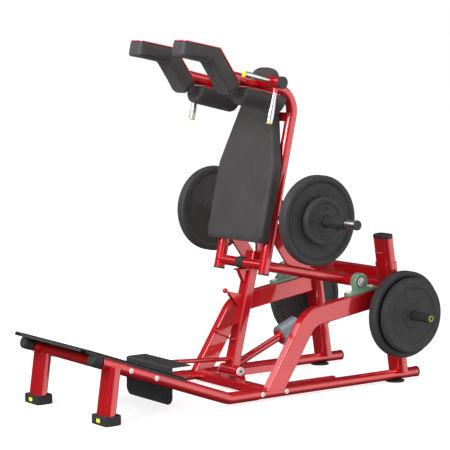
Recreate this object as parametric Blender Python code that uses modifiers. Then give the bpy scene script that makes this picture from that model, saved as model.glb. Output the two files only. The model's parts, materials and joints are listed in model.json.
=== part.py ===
"""Plate-loaded lever squat machine: a base with an inclined footplate, a hinged carriage with
shoulder, chest and back pads, a counterweighted prop that holds the carriage up, and weight plates.

Metres, +Z up. The user stands on the footplate and faces -Y, so +X is the user's left.
"""

import math

import bpy
from mathutils import Matrix, Vector

# The base is drawn from the front edge of the cross member; the origin ends under the middle
MIDDLE_Y = -0.213
GAP = 0.0004
TUBE_SIDES = 16
PIN_SIDES = 20
BEND_STEPS = 5
SIDES = (("left", 1), ("right", -1))

# Base
RAIL_X = 0.31
RAIL_RADIUS = 0.027
RAIL_Z = 0.037
RAIL_FRONT_Y = -0.27
RAIL_REAR_Y = 0.795
REAR_FOOT_Y = 0.642
REAR_FOOT_RADIUS = 0.05
CROSS_MEMBER_Y = -0.19
CROSS_MEMBER_SIZE = (0.06, 0.046)
CORNER_GUSSET = 0.085
INNER_BAR_X = 0.235
INNER_BAR_SIZE = (0.03, 0.477, 0.04)

# Inclined front end: distances run up the slope from the bend of the base tube
SLOPE = math.radians(19.4)
SLOPE_CORNER = (-0.448, RAIL_Z)
BASE_TUBE_RADIUS = 0.0295
BASE_BEND_RADIUS = 0.14
SOCKET_RADIUS = 0.032
SOCKET_START = 0.641
SOCKET_END = 0.838
LEG_SECTION = (0.115, 0.058)
LEG_BOTTOM_Y = -1.153
LEG_TOP = (-1.12, 0.27)
LEG_FOOT_SIZE = (0.13, 0.1, 0.045)
LEG_FOOT_Y = -1.1445
LEG_FOOT_ROUNDING = (0.012, 0.035)
FRONT_CROSS_DISTANCE = 0.716
FRONT_CROSS_RADIUS = 0.027
FOOTPLATE_RANGE = (0.2945, 0.8787)
FOOTPLATE_WIDTH = 0.66
FOOTPLATE_THICKNESS = 0.008

# Bearing frames and rear uprights
UPRIGHT_SECTION = (0.12, 0.06)
UPRIGHT_BOTTOM = (0.667, 0.052)
UPRIGHT_TOP = (0.547, 0.782)
BEAM_SIZE = (0.05, 0.1)
BEAM_Z = 0.55
BEARING_FRAME_THICKNESS = 0.05
BEARING_FRAME_DEPTH = 0.095
BEARING_FRAME_FOOT = (-0.173, RAIL_Z)
BEARING_FRAME_CORNER = (0.0554, 0.3888)
BEARING_FRAME_END = (0.6, 0.4705)
BEARING_FRAME_BEND = 0.13
STORAGE_Z = 0.37
STORAGE_HORN_END = 0.61

# Carriage hinge
PIVOT = Vector((0.0, 0.39, 0.546))
SHAFT_RADIUS = 0.0175
SHAFT_HALF_LENGTH = 0.336
BLOCK_HALF_LENGTH = 0.095
BLOCK_BASE = 0.018
BLOCK_WIDTH = 0.044
BLOCK_RADIUS = 0.045
BLOCK_NECK = 0.0405

# Carriage: "along" runs up the back tubes, "forward" is square to them, towards the user's front
CARRIAGE_TILT = math.radians(12.4)
CARRIAGE_FOOT = Vector((0.0, -0.137, 0.609))
ARM_X = 0.187
SIDE_TUBE_RADIUS = 0.028
ARM_ALONG = 0.926
SIDE_BEND_RADIUS = 0.12
TOP_BAR = (0.934, 0.235)
TOP_BAR_RADIUS = 0.03
TOP_BAR_HALF_LENGTH = 0.38
LOWER_BAR_ALONG = 0.045
LOWER_BAR_RADIUS = 0.025
BUMPER_RADIUS = 0.0275
BUMPER_LENGTH = 0.06
SHELF_CLEARANCE = 0.003
LEVER_RADIUS = 0.026
PIVOT_TUBE_RADIUS = 0.027
PIVOT_TUBE_HALF_LENGTH = 0.275

# Braces and weight horns behind the back pad
BRACE_OUTLINE = ((0.0344, 0.6196), (0.143, 0.5971), (-0.0734, 0.898), (-0.0951, 0.7997))
TRUSS_THICKNESS = 0.016
HORN_SUPPORT_DEPTH = 0.06
HORN_SUPPORT_FOOT = (0.133, 0.585)
HORN_SUPPORT_CORNER = (0.133, 0.74)
HORN_SUPPORT_TOP = (-0.06, 0.98)
TRUSS_FOOT_SIZE = (0.045, 0.17, 0.006)
HORN = (0.01, 0.893)
HORN_RADIUS = 0.0245
HORN_HALF_LENGTH = 0.738
HORN_STOP_X = 0.397
HORN_STOP_RADIUS = 0.038

# Weight plates
PLATE_BORE_RADIUS = 0.0257
BIG_PLATE_RADIUS = 0.225
BIG_PLATE_THICKNESS = 0.055
STORED_PLATE_RADIUS = 0.195
STORED_PLATE_THICKNESS = 0.045
SMALL_PLATE_RADIUS = 0.12
SMALL_PLATE_THICKNESS = 0.035
PLATE_GAP = 0.002
COLLAR_LENGTH = 0.159
COLLAR_RADII = (0.0275, 0.03)

# Pads
BACK_PAD_FRONT = 0.09
BACK_PAD_THICKNESS = 0.054
ROLL_PAD_RADIUS = 0.073
ROLL_PAD_TOP = 0.889
ROLL_PAD_DEPTH = 0.092
ROLL_PAD_RANGE = (0.097, 0.35)
SHOULDER_PAD_WIDTH = 0.128
SHOULDER_PAD_THICKNESS = 0.075
SHOULDER_PLATE_THICKNESS = 0.005
SHOULDER_FRONT = (-0.656, 1.7793)
SHOULDER_BEND = (-0.442, 1.741)
SHOULDER_TIP = (-0.311, 1.5499)

# Handles
HANDLE_X = 0.327
HANDLE_LENGTH = 0.185
HANDLE_RADII = (0.0125, 0.0145)

# Prop: the lever that holds the carriage up
PROP_PIVOT = Vector((0.0, -0.197, 0.108))
PROP_TILT = math.radians(13.3)
PROP_SECTION = (0.07, 0.05)
PROP_LENGTH = 0.615
PROP_HUB_RADIUS = 0.027
PROP_HUB_HALF_LENGTH = 0.062
PROP_PIN_RADIUS = 0.011
PROP_PIN_HEAD_RADIUS = 0.0225
YOKE_EAR_X = 0.069
YOKE_EAR_THICKNESS = 0.01
SHELF_SIZE = (0.06, 0.085, 0.008)
PEDAL_FRONT_Y = -0.705
PEDAL_TOP_Z = 0.203
PEDAL_HEIGHT = 0.191
PEDAL_WIDTH = 0.4
PEDAL_CORNER_RADIUS = 0.0465
PEDAL_DEPTH = 0.115
PEDAL_SHEET = 0.006
PEDAL_TUBE_RADIUS = 0.0115
COUNTER_ARM_START = (-0.16, 0.134)
COUNTER_ARM_END = (0.118, 0.249)
COUNTER_ARM_RADIUS = 0.02
COUNTER_FLANGE_RADIUS = 0.037
COUNTERWEIGHT_RADIUS = 0.055
COUNTERWEIGHT_LENGTH = 0.12
KNOB_RADIUS = 0.0135
KNOB_CENTRE = (-0.236, 0.5163)

COLOURS = {
    "red_paint": ((0.55, 0.012, 0.02), 0.25, 0.3),
    "black_rubber": ((0.03, 0.03, 0.03), 0.75, 0.0),
    "black_plate": ((0.04, 0.04, 0.04), 0.6, 0.0),
    "pad_cover": ((0.06, 0.055, 0.055), 0.6, 0.0),
    "chrome": ((0.85, 0.85, 0.87), 0.12, 1.0),
    "bearing_green": ((0.25, 0.42, 0.3), 0.45, 0.3),
    "steel_grey": ((0.45, 0.5, 0.56), 0.35, 0.6),
    "black_sleeve": ((0.03, 0.03, 0.032), 0.45, 0.0),
    "red_knob": ((0.6, 0.01, 0.02), 0.3, 0.0),
}

# Columns are the world directions of a drawing's x, y and depth
SIDE_VIEW = Matrix(((0, 0, 1), (1, 0, 0), (0, 1, 0)))
CARRIAGE_VIEW = Matrix(
    (
        (1, 0, 0),
        (0, math.sin(CARRIAGE_TILT), -math.cos(CARRIAGE_TILT)),
        (0, math.cos(CARRIAGE_TILT), math.sin(CARRIAGE_TILT)),
    )
)


# ---------------------------------------------------------------- scene and materials


def clear_scene():
    for obj in list(bpy.data.objects):
        bpy.data.objects.remove(obj)


def new_collection(name):
    collection = bpy.data.collections.new(name)
    bpy.context.scene.collection.children.link(collection)
    return collection


def make_materials():
    for name, (colour, roughness, metallic) in COLOURS.items():
        material = bpy.data.materials.new(name)
        material.use_nodes = True
        shader = material.node_tree.nodes["Principled BSDF"]
        shader.inputs["Base Color"].default_value = (*colour, 1.0)
        shader.inputs["Roughness"].default_value = roughness
        shader.inputs["Metallic"].default_value = metallic
        material.diffuse_color = (*colour, 1.0)


def move_to(obj, collection):
    for holder in list(obj.users_collection):
        holder.objects.unlink(obj)
    collection.objects.link(obj)


def as_cutter(obj):
    move_to(obj, bpy.data.collections["Cutters"])
    obj.hide_render = True
    obj.display_type = "WIRE"
    return obj


def as_part(obj, material, parent=None):
    """Files the object as a sub-part, with its own copy of the material, and hangs it on its joint."""
    move_to(obj, bpy.data.collections["SquatMachine"])
    own = bpy.data.materials[material].copy()
    own.name = f"{obj.name}_{material}"
    obj.data.materials.clear()
    obj.data.materials.append(own)
    if parent:
        obj.parent = parent
        obj.matrix_parent_inverse = parent.matrix_world.inverted()
    return obj


def joint_empty(name, location):
    empty = bpy.data.objects.new(name, None)
    empty.location = location
    bpy.data.collections["SquatMachine"].objects.link(empty)
    bpy.context.view_layer.update()
    return empty


def stand_over_origin():
    """Moves everything along Y so that the middle of the machine is over the origin."""
    for obj in bpy.data.objects:
        if obj.parent is None:
            obj.location.y -= MIDDLE_Y


def boolean(target, other, operation="DIFFERENCE"):
    modifier = target.modifiers.new(operation.title(), "BOOLEAN")
    modifier.operation = operation
    modifier.solver = "EXACT"
    modifier.object = other
    return target


def cut(target, *cutters):
    for cutter in cutters:
        boolean(target, cutter)
    return target


def join(target, *additions):
    for addition in additions:
        boolean(target, as_cutter(addition), "UNION")
    return target


# ---------------------------------------------------------------- shapes


def side_point(x, pair):
    return Vector((x, pair[0], pair[1]))


def slope_point(x, distance, lift=0.0):
    """A point on the inclined front end, lifted square to the slope."""
    return Vector(
        (
            x,
            SLOPE_CORNER[0] - distance * math.cos(SLOPE) + lift * math.sin(SLOPE),
            SLOPE_CORNER[1] + distance * math.sin(SLOPE) + lift * math.cos(SLOPE),
        )
    )


def carriage_point(x, along, forward=0.0):
    return CARRIAGE_FOOT + CARRIAGE_VIEW @ Vector((x, along, forward))


def prop_point(x, along, forward=0.0):
    """A point of the prop: along its post from the pivot, and forward of its centre line."""
    return PROP_PIVOT + Vector(
        (
            x,
            along * math.sin(PROP_TILT) - forward * math.cos(PROP_TILT),
            along * math.cos(PROP_TILT) + forward * math.sin(PROP_TILT),
        )
    )


def arc_points(before, corner, after, radius, steps):
    """The corner rounded to the radius, as points from one tangent point to the other."""
    arriving = (corner - before).normalized()
    leaving = (after - corner).normalized()
    turn = arriving.angle(leaving)
    reach = radius * math.tan(turn / 2)
    start = corner - arriving * reach
    sideways = (leaving - arriving * arriving.dot(leaving)).normalized()
    points = []
    for step in range(steps + 1):
        angle = turn * step / steps
        advance = arriving * math.sin(angle) + sideways * (1 - math.cos(angle))
        points.append(start + advance * radius)
    return points


def bent_path(corners, radius, steps=BEND_STEPS):
    points = [corners[0]]
    for before, corner, after in zip(corners, corners[1:], corners[2:]):
        points += arc_points(before, corner, after, radius, steps)
    return points + [corners[-1]]


def rounded_outline(corners, radii, steps=3):
    """A closed flat outline with each corner rounded to its own radius, or left sharp at zero."""
    corners = [Vector(corner) for corner in corners]
    outline = []
    for index, (corner, radius) in enumerate(zip(corners, radii)):
        before, after = corners[index - 1], corners[(index + 1) % len(corners)]
        outline += arc_points(before, corner, after, radius, steps) if radius else [corner]
    return outline


def stadium(length, width, steps=6):
    """The outline of a flat-oval tube, long across the drawing."""
    half, radius = (length - width) / 2, width / 2
    outline = []
    for centre, start in ((half, -math.pi / 2), (-half, math.pi / 2)):
        for step in range(steps + 1):
            angle = start + math.pi * step / steps
            outline.append(Vector((centre + radius * math.cos(angle), radius * math.sin(angle))))
    return outline


def mesh_from_curve(obj):
    """Replaces a curve object with a mesh object of the same name and place."""
    bpy.context.view_layer.update()
    name, matrix = obj.name, obj.matrix_world.copy()
    graph = bpy.context.evaluated_depsgraph_get()
    mesh = bpy.data.meshes.new_from_object(obj.evaluated_get(graph))
    bpy.data.objects.remove(obj)
    solid = bpy.data.objects.new(name, mesh)
    bpy.context.scene.collection.objects.link(solid)
    weld = solid.modifiers.new("Weld", "WELD")
    weld.merge_threshold = 0.0001
    solid.matrix_world = matrix
    return solid


def drawn(name, outline, depth, view, centre):
    """A flat outline given a depth, in the drawing plane of the view."""
    curve = bpy.data.curves.new(name, "CURVE")
    curve.dimensions = "2D"
    curve.fill_mode = "BOTH"
    curve.extrude = depth / 2
    spline = curve.splines.new("POLY")
    spline.points.add(len(outline) - 1)
    for point, place in zip(spline.points, outline):
        point.co = (place[0], place[1], 0.0, 1.0)
    spline.use_cyclic_u = True
    obj = bpy.data.objects.new(name, curve)
    bpy.context.scene.collection.objects.link(obj)
    obj.matrix_world = Matrix.Translation(centre) @ view.to_4x4()
    return mesh_from_curve(obj)


def bent_tube(name, corners, radius, bend):
    curve = bpy.data.curves.new(name, "CURVE")
    curve.dimensions = "3D"
    curve.bevel_depth = radius
    curve.bevel_resolution = 6
    curve.use_fill_caps = True
    path = bent_path(corners, bend)
    spline = curve.splines.new("POLY")
    spline.points.add(len(path) - 1)
    for point, place in zip(spline.points, path):
        point.co = (*place, 1.0)
    obj = bpy.data.objects.new(name, curve)
    bpy.context.scene.collection.objects.link(obj)
    return mesh_from_curve(obj)


def rod(name, start, end, radius, sides=TUBE_SIDES, end_radius=None):
    """A round bar between two points, tapered where an end radius is given."""
    span = end - start
    bpy.ops.mesh.primitive_cone_add(
        vertices=sides,
        radius1=radius,
        radius2=radius if end_radius is None else end_radius,
        depth=span.length,
        location=(start + end) / 2,
        rotation=span.to_track_quat("Z", "Y").to_euler(),
    )
    obj = bpy.context.object
    obj.name = name
    return obj


def cross_rod(name, half_length, centre, radius, sides=TUBE_SIDES):
    offset = Vector((half_length, 0, 0))
    return rod(name, centre - offset, centre + offset, radius, sides)


def box(name, size, centre, rotation=(0, 0, 0)):
    bpy.ops.mesh.primitive_cube_add(size=1, location=centre, rotation=rotation)
    obj = bpy.context.object
    obj.name = name
    obj.scale = size
    bpy.ops.object.transform_apply(location=False, rotation=False, scale=True)
    return obj


def turned(name, profile, centre, steps, outward=1):
    """A ring turned about X from (radius, x) points, which run out along the ring's outside."""
    mesh = bpy.data.meshes.new(name)
    points = [(radius, 0, x * outward) for radius, x in profile]
    if outward < 0:
        points.reverse()
    count = len(points)
    edges = [(index, (index + 1) % count) for index in range(count)]
    mesh.from_pydata(points, edges, [])
    obj = bpy.data.objects.new(name, mesh)
    bpy.context.scene.collection.objects.link(obj)
    screw = obj.modifiers.new("Screw", "SCREW")
    screw.steps = steps
    screw.render_steps = steps
    screw.use_merge_vertices = True
    screw.merge_threshold = 0.0001
    obj.location = centre
    obj.rotation_euler = (0, math.pi / 2, 0)
    return obj


# ---------------------------------------------------------------- base


def rail_cutter(sign):
    start = Vector((sign * RAIL_X, RAIL_FRONT_Y - 0.4, RAIL_Z))
    end = Vector((sign * RAIL_X, RAIL_REAR_Y + 0.1, RAIL_Z))
    return as_cutter(rod(f"rail_cut{sign}", start, end, BASE_TUBE_RADIUS + GAP))


def add_rails():
    for side, sign in SIDES:
        start = Vector((sign * RAIL_X, RAIL_FRONT_Y, RAIL_Z))
        end = Vector((sign * RAIL_X, RAIL_REAR_Y, RAIL_Z))
        as_part(rod(f"rail_{side}", start, end, RAIL_RADIUS), "red_paint")


def add_base_tubes():
    for side, sign in SIDES:
        x = sign * RAIL_X
        corners = [
            Vector((x, RAIL_FRONT_Y - GAP, RAIL_Z)),
            side_point(x, SLOPE_CORNER),
            slope_point(x, SOCKET_START - GAP),
        ]
        tube = bent_tube(f"base_tube_{side}", corners, BASE_TUBE_RADIUS, BASE_BEND_RADIUS)
        as_part(tube, "red_paint")


def leg_solid(name, sign, grow=0.0):
    x = sign * RAIL_X
    bottom = Vector((x, LEG_BOTTOM_Y, LEG_FOOT_SIZE[2] + GAP))
    top = side_point(x, LEG_TOP)
    lean = math.atan2(top.y - bottom.y, top.z - bottom.z)
    length, width = LEG_SECTION
    outline = stadium(length + 2 * grow, width + 2 * grow)
    view = Matrix.Rotation(-lean, 3, "X")
    return drawn(name, outline, (top - bottom).length + 0.04, view, (top + bottom) / 2)


def add_front_legs():
    """A socket on each inclined tube's front end, with its flat-oval leg welded under it."""
    for side, sign in SIDES:
        x = sign * RAIL_X
        start, end = slope_point(x, SOCKET_START), slope_point(x, SOCKET_END)
        socket = rod(f"front_leg_{side}", start, end, SOCKET_RADIUS)
        leg = leg_solid(f"leg_{side}", sign)
        below = Vector((x, LEG_BOTTOM_Y, LEG_FOOT_SIZE[2] + GAP - 0.05))
        above = slope_point(x, SOCKET_START + 0.077, 0.05 + SOCKET_RADIUS - 0.012)
        floor = box(f"leg_trim_{side}", (0.3, 0.3, 0.1), below)
        ceiling = box(f"leg_top_trim_{side}", (0.3, 0.3, 0.1), above, (-SLOPE, 0, 0))
        cut(leg, as_cutter(floor), as_cutter(ceiling))
        as_part(join(socket, leg), "red_paint")


def add_leg_feet():
    for side, sign in SIDES:
        width, depth, height = LEG_FOOT_SIZE
        half = (width / 2, depth / 2)
        outline = rounded_outline(
            [(-half[0], -half[1]), (half[0], -half[1]), (half[0], half[1]), (-half[0], half[1])],
            [LEG_FOOT_ROUNDING[0]] * 2 + [LEG_FOOT_ROUNDING[1]] * 2,
        )
        centre = Vector((sign * RAIL_X, LEG_FOOT_Y, height / 2))
        foot = drawn(f"leg_foot_{side}", outline, height, Matrix.Identity(3), centre)
        as_part(foot, "black_rubber")


def add_front_cross_tube():
    centre = slope_point(0, FRONT_CROSS_DISTANCE)
    tube = cross_rod("front_cross_tube", RAIL_X - 0.02, centre, FRONT_CROSS_RADIUS)
    for side, sign in SIDES:
        x = sign * RAIL_X
        start, end = slope_point(x, 0.5), slope_point(x, 1.0)
        socket = rod(f"socket_cut_{side}", start, end, SOCKET_RADIUS + GAP)
        leg = leg_solid(f"leg_cut_{side}", sign, 2 * GAP)
        cut(tube, as_cutter(socket), as_cutter(leg))
    as_part(tube, "red_paint")


def add_footplate():
    rear, front = FOOTPLATE_RANGE
    lift = SOCKET_RADIUS + GAP + FOOTPLATE_THICKNESS / 2
    size = (FOOTPLATE_WIDTH, front - rear, FOOTPLATE_THICKNESS)
    plate = box("footplate", size, slope_point(0, (front + rear) / 2, lift), (-SLOPE, 0, 0))
    as_part(plate, "black_plate")


def add_cross_member():
    """The cross member between the rails, with corner gussets and the bars that run back from it."""
    depth, height = CROSS_MEMBER_SIZE
    centre = Vector((0, CROSS_MEMBER_Y, RAIL_Z))
    member = box("cross_member", (2 * RAIL_X, depth, height), centre)
    front = CROSS_MEMBER_Y - depth / 2
    for side, sign in SIDES:
        outline = [
            (sign * RAIL_X, front - CORNER_GUSSET),
            (sign * RAIL_X, front + 0.01),
            (sign * (RAIL_X - 0.03 - CORNER_GUSSET), front + 0.01),
        ]
        level = Vector((0, 0, RAIL_Z + 0.004))
        gusset = drawn(f"gusset_{side}", outline, 0.006, Matrix.Identity(3), level)
        bar_y = CROSS_MEMBER_Y + INNER_BAR_SIZE[1] / 2
        bar = box(f"inner_bar_{side}", INNER_BAR_SIZE, (sign * INNER_BAR_X, bar_y, RAIL_Z))
        join(member, gusset, bar)
    cut(member, rail_cutter(1), rail_cutter(-1))
    as_part(member, "red_paint")


def add_rear_feet():
    thickness = RAIL_Z - RAIL_RADIUS - GAP
    for side, sign in SIDES:
        start = Vector((sign * RAIL_X, REAR_FOOT_Y, 0))
        end = start + Vector((0, 0, thickness))
        as_part(rod(f"rear_foot_{side}", start, end, REAR_FOOT_RADIUS, PIN_SIDES), "black_rubber")


# ---------------------------------------------------------------- rear frame


def upright_solid(name, sign, grow=0.0):
    bottom = side_point(sign * RAIL_X, UPRIGHT_BOTTOM)
    top = side_point(sign * RAIL_X, UPRIGHT_TOP)
    lean = math.atan2(top.y - bottom.y, top.z - bottom.z)
    length, width = UPRIGHT_SECTION
    outline = stadium(length + 2 * grow, width + 2 * grow)
    depth = (top - bottom).length
    return drawn(name, outline, depth, Matrix.Rotation(-lean, 3, "X"), (top + bottom) / 2)


def upright_y(z):
    share = (z - UPRIGHT_BOTTOM[1]) / (UPRIGHT_TOP[1] - UPRIGHT_BOTTOM[1])
    return UPRIGHT_BOTTOM[0] + share * (UPRIGHT_TOP[0] - UPRIGHT_BOTTOM[0])


def add_rear_uprights():
    for side, sign in SIDES:
        upright = upright_solid(f"rear_upright_{side}", sign)
        as_part(cut(upright, rail_cutter(sign)), "red_paint")


def add_rear_beam():
    depth, height = BEAM_SIZE
    centre = Vector((0, upright_y(BEAM_Z), BEAM_Z))
    beam = box("rear_beam", (2 * RAIL_X - 0.06, depth, height), centre)
    for side, sign in SIDES:
        cut(beam, as_cutter(upright_solid(f"beam_cut_{side}", sign, GAP)))
    as_part(beam, "red_paint")


def offset_band(path, depth):
    """The flat outline of a bar of this depth that follows the path."""
    upper, lower = [], []
    for index, point in enumerate(path):
        before = path[max(index - 1, 0)]
        after = path[min(index + 1, len(path) - 1)]
        heading = (after - before).normalized()
        square = Vector((-heading.y, heading.x))
        upper.append(point + square * depth / 2)
        lower.append(point - square * depth / 2)
    return upper + lower[::-1]


def add_bearing_frames():
    corners = [BEARING_FRAME_FOOT, BEARING_FRAME_CORNER, BEARING_FRAME_END]
    path = bent_path([Vector(corner) for corner in corners], BEARING_FRAME_BEND)
    outline = offset_band(path, BEARING_FRAME_DEPTH)
    for side, sign in SIDES:
        centre = Vector((sign * RAIL_X, 0, 0))
        name = f"bearing_frame_{side}"
        frame = drawn(name, outline, BEARING_FRAME_THICKNESS, SIDE_VIEW, centre)
        upright = as_cutter(upright_solid(f"frame_cut_{side}", sign, GAP))
        clear_z = RAIL_Z + CROSS_MEMBER_SIZE[1] / 2 + 2 * GAP
        floor = box(f"frame_trim_{side}", (0.2, 0.4, 0.1), (sign * RAIL_X, -0.16, clear_z - 0.05))
        cut(frame, as_cutter(floor), rail_cutter(sign), upright)
        as_part(frame, "red_paint")


def bearing_slope():
    corner, end = BEARING_FRAME_CORNER, BEARING_FRAME_END
    return math.atan2(end[1] - corner[1], end[0] - corner[0])


def add_pillow_blocks():
    """Each housing is a foot with a round boss, bored for the shaft, lying on its bearing frame."""
    slope = bearing_slope()
    square = Vector((0, -math.sin(slope), math.cos(slope)))
    corner = side_point(0, BEARING_FRAME_CORNER)
    height = (PIVOT - corner).dot(square) - BEARING_FRAME_DEPTH / 2 - GAP
    half, base, radius = BLOCK_HALF_LENGTH, BLOCK_BASE - height, BLOCK_RADIUS
    below = math.acos(BLOCK_NECK / radius)
    boss = []
    for step in range(15):
        angle = (math.pi + 2 * below) * step / 14 - below
        boss.append((radius * math.cos(angle), radius * math.sin(angle)))
    foot = [(-half, base), (-half, -height), (half, -height), (half, base), (BLOCK_NECK, base)]
    outline = foot + boss + [(-BLOCK_NECK, base)]
    view = Matrix.Rotation(slope, 3, "X") @ SIDE_VIEW
    for side, sign in SIDES:
        centre = PIVOT + Vector((sign * RAIL_X, 0, 0))
        block = drawn(f"pillow_block_{side}", outline, BLOCK_WIDTH, view, centre)
        bore = cross_rod(f"block_bore_{side}", 0.06, centre, SHAFT_RADIUS + 2 * GAP, PIN_SIDES)
        as_part(cut(block, as_cutter(bore)), "bearing_green")


def add_storage_horns():
    for side, sign in SIDES:
        y = upright_y(STORAGE_Z)
        start = Vector((sign * (RAIL_X + 0.02), y, STORAGE_Z))
        end = Vector((sign * STORAGE_HORN_END, y, STORAGE_Z))
        horn = rod(f"storage_horn_{side}", start, end, HORN_RADIUS, PIN_SIDES)
        cut(horn, as_cutter(upright_solid(f"horn_cut_{side}", sign, GAP)))
        as_part(horn, "black_sleeve")


# ---------------------------------------------------------------- carriage


def side_tube_cutter(sign, name):
    x = sign * ARM_X
    start, end = carriage_point(x, -0.1), carriage_point(x, 0.8)
    return as_cutter(rod(name, start, end, SIDE_TUBE_RADIUS + GAP))


def top_bar_cutter(name):
    centre = carriage_point(0, *TOP_BAR)
    return as_cutter(cross_rod(name, 0.45, centre, TOP_BAR_RADIUS + GAP))


def add_side_tubes(carriage):
    for side, sign in SIDES:
        x = sign * ARM_X
        corners = [
            carriage_point(x, 0.0),
            carriage_point(x, ARM_ALONG),
            carriage_point(x, ARM_ALONG, TOP_BAR[1]),
        ]
        tube = bent_tube(f"side_tube_{side}", corners, SIDE_TUBE_RADIUS, SIDE_BEND_RADIUS)
        as_part(cut(tube, top_bar_cutter(f"tube_end_{side}")), "red_paint", carriage)


def add_shoulder_arms(carriage):
    """The arms start at the top bar and end square on the back of the shoulder plates."""
    steep = side_point(0, SHOULDER_TIP) - side_point(0, SHOULDER_BEND)
    tilt = math.atan2(steep.z, steep.y)
    middle = (side_point(0, SHOULDER_TIP) + side_point(0, SHOULDER_BEND)) / 2
    square = Vector((0, -math.sin(tilt), math.cos(tilt)))
    for side, sign in SIDES:
        x = sign * ARM_X
        start = carriage_point(x, ARM_ALONG, TOP_BAR[1] + GAP)
        end = carriage_point(x, ARM_ALONG, 0.46)
        arm = rod(f"shoulder_arm_{side}", start, end, SIDE_TUBE_RADIUS)
        centre = middle + square * (GAP - 0.1) + Vector((x, 0, 0))
        beyond = box(f"arm_trim_{side}", (0.2, 0.5, 0.2), centre, (tilt, 0, 0))
        cut(arm, as_cutter(beyond), top_bar_cutter(f"arm_end_{side}"))
        as_part(arm, "red_paint", carriage)


def add_top_crossbar(carriage):
    centre = carriage_point(0, *TOP_BAR)
    bar = cross_rod("top_crossbar", TOP_BAR_HALF_LENGTH, centre, TOP_BAR_RADIUS)
    as_part(bar, "red_paint", carriage)


def lever_arm_solid(name, sign, grow=0.0):
    x = sign * ARM_X
    start, end = carriage_point(x, LOWER_BAR_ALONG), PIVOT + Vector((x, 0, 0))
    return rod(name, start, end, LEVER_RADIUS + grow)


def add_lower_crossbar(carriage):
    centre = carriage_point(0, LOWER_BAR_ALONG)
    bar = cross_rod("lower_crossbar", ARM_X, centre, LOWER_BAR_RADIUS)
    for side, sign in SIDES:
        lever = as_cutter(lever_arm_solid(f"lower_lever_cut_{side}", sign, GAP))
        cut(bar, lever, side_tube_cutter(sign, f"lower_end_{side}"))
    as_part(bar, "red_paint", carriage)
    bumper = cross_rod("bumper_sleeve", BUMPER_LENGTH / 2, centre, BUMPER_RADIUS, PIN_SIDES)
    bore = cross_rod("bumper_bore", BUMPER_LENGTH, centre, LOWER_BAR_RADIUS + 2 * GAP, PIN_SIDES)
    as_part(cut(bumper, as_cutter(bore)), "black_rubber", carriage)


def add_lever_frame(carriage):
    """Two lever arms welded to the tube that turns with the shaft."""
    frame = cross_rod("lever_frame", PIVOT_TUBE_HALF_LENGTH, PIVOT, PIVOT_TUBE_RADIUS)
    for side, sign in SIDES:
        join(frame, lever_arm_solid(f"lever_arm_{side}", sign))
    bore = cross_rod("lever_bore", 0.4, PIVOT, SHAFT_RADIUS + GAP, PIN_SIDES)
    ends = [side_tube_cutter(sign, f"lever_end_{side}") for side, sign in SIDES]
    cut(frame, as_cutter(bore), *ends)
    as_part(frame, "red_paint", carriage)


def add_shaft(carriage):
    shaft = cross_rod("pivot_shaft", SHAFT_HALF_LENGTH, PIVOT, SHAFT_RADIUS, PIN_SIDES)
    as_part(shaft, "chrome", carriage)


def add_trusses(carriage):
    """Behind each side tube: a broad flat brace and a bent horn support on one foot plate."""
    bends = [Vector(p) for p in (HORN_SUPPORT_FOOT, HORN_SUPPORT_CORNER, HORN_SUPPORT_TOP)]
    support_outline = offset_band(bent_path(bends, 0.08), HORN_SUPPORT_DEPTH)
    horn_bore = side_point(0, HORN)
    for side, sign in SIDES:
        x = sign * ARM_X
        centre = Vector((x, 0, 0))
        truss = drawn(f"truss_{side}", support_outline, TRUSS_THICKNESS, SIDE_VIEW, centre)
        brace = drawn(f"brace_{side}", BRACE_OUTLINE, TRUSS_THICKNESS, SIDE_VIEW, centre)
        foot_start = carriage_point(x, LOWER_BAR_ALONG, -0.14)
        foot_end = carriage_point(x, LOWER_BAR_ALONG, -0.31)
        lift = CARRIAGE_VIEW @ Vector((0, LEVER_RADIUS + TRUSS_FOOT_SIZE[2] / 2, 0))
        middle = (foot_start + foot_end) / 2 + lift
        foot = box(f"truss_foot_{side}", TRUSS_FOOT_SIZE, middle, (-CARRIAGE_TILT, 0, 0))
        join(truss, brace, foot)
        below = lever_arm_solid(f"truss_lever_cut_{side}", sign, GAP)
        under = box(
            f"truss_trim_{side}",
            (0.1, 0.6, 0.1),
            carriage_point(x, LOWER_BAR_ALONG - 0.05 + 0.012, -0.2),
            (-CARRIAGE_TILT, 0, 0),
        )
        bore = cross_rod(f"truss_bore_{side}", 0.1, horn_bore + centre, HORN_RADIUS + GAP, PIN_SIDES)
        cut(truss, as_cutter(under), as_cutter(below), as_cutter(bore))
        cut(truss, side_tube_cutter(sign, f"truss_end_{side}"))
        ahead = box(
            f"truss_front_trim_{side}",
            (0.1, 0.1, 1.2),
            carriage_point(x, 0.4, 0.05),
            (-CARRIAGE_TILT, 0, 0),
        )
        cut(truss, as_cutter(ahead))
        as_part(truss, "red_paint", carriage)


def add_horn_bar(carriage):
    centre = side_point(0, HORN)
    bar = cross_rod("horn_bar", HORN_HALF_LENGTH, centre, HORN_RADIUS, PIN_SIDES)
    for side, sign in SIDES:
        place = centre + Vector((sign * HORN_STOP_X, 0, 0))
        join(bar, cross_rod(f"horn_stop_{side}", 0.005, place, HORN_STOP_RADIUS, PIN_SIDES))
    as_part(bar, "chrome", carriage)


# ---------------------------------------------------------------- pads and handles


def add_back_pad(carriage):
    half = [(0.238, 0.145), (0.239, 0.545), (0.135, 0.86), (0.09, 1.048)]
    radii = [0.035, 0.03, 0.06, 0.08]
    corners = [(-x, along) for x, along in half] + half[::-1]
    outline = rounded_outline(corners, radii + radii[::-1], 4)
    centre = carriage_point(0, 0, BACK_PAD_FRONT - BACK_PAD_THICKNESS / 2)
    pad = drawn("back_pad", outline, BACK_PAD_THICKNESS, CARRIAGE_VIEW, centre)
    as_part(pad, "pad_cover", carriage)


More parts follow.
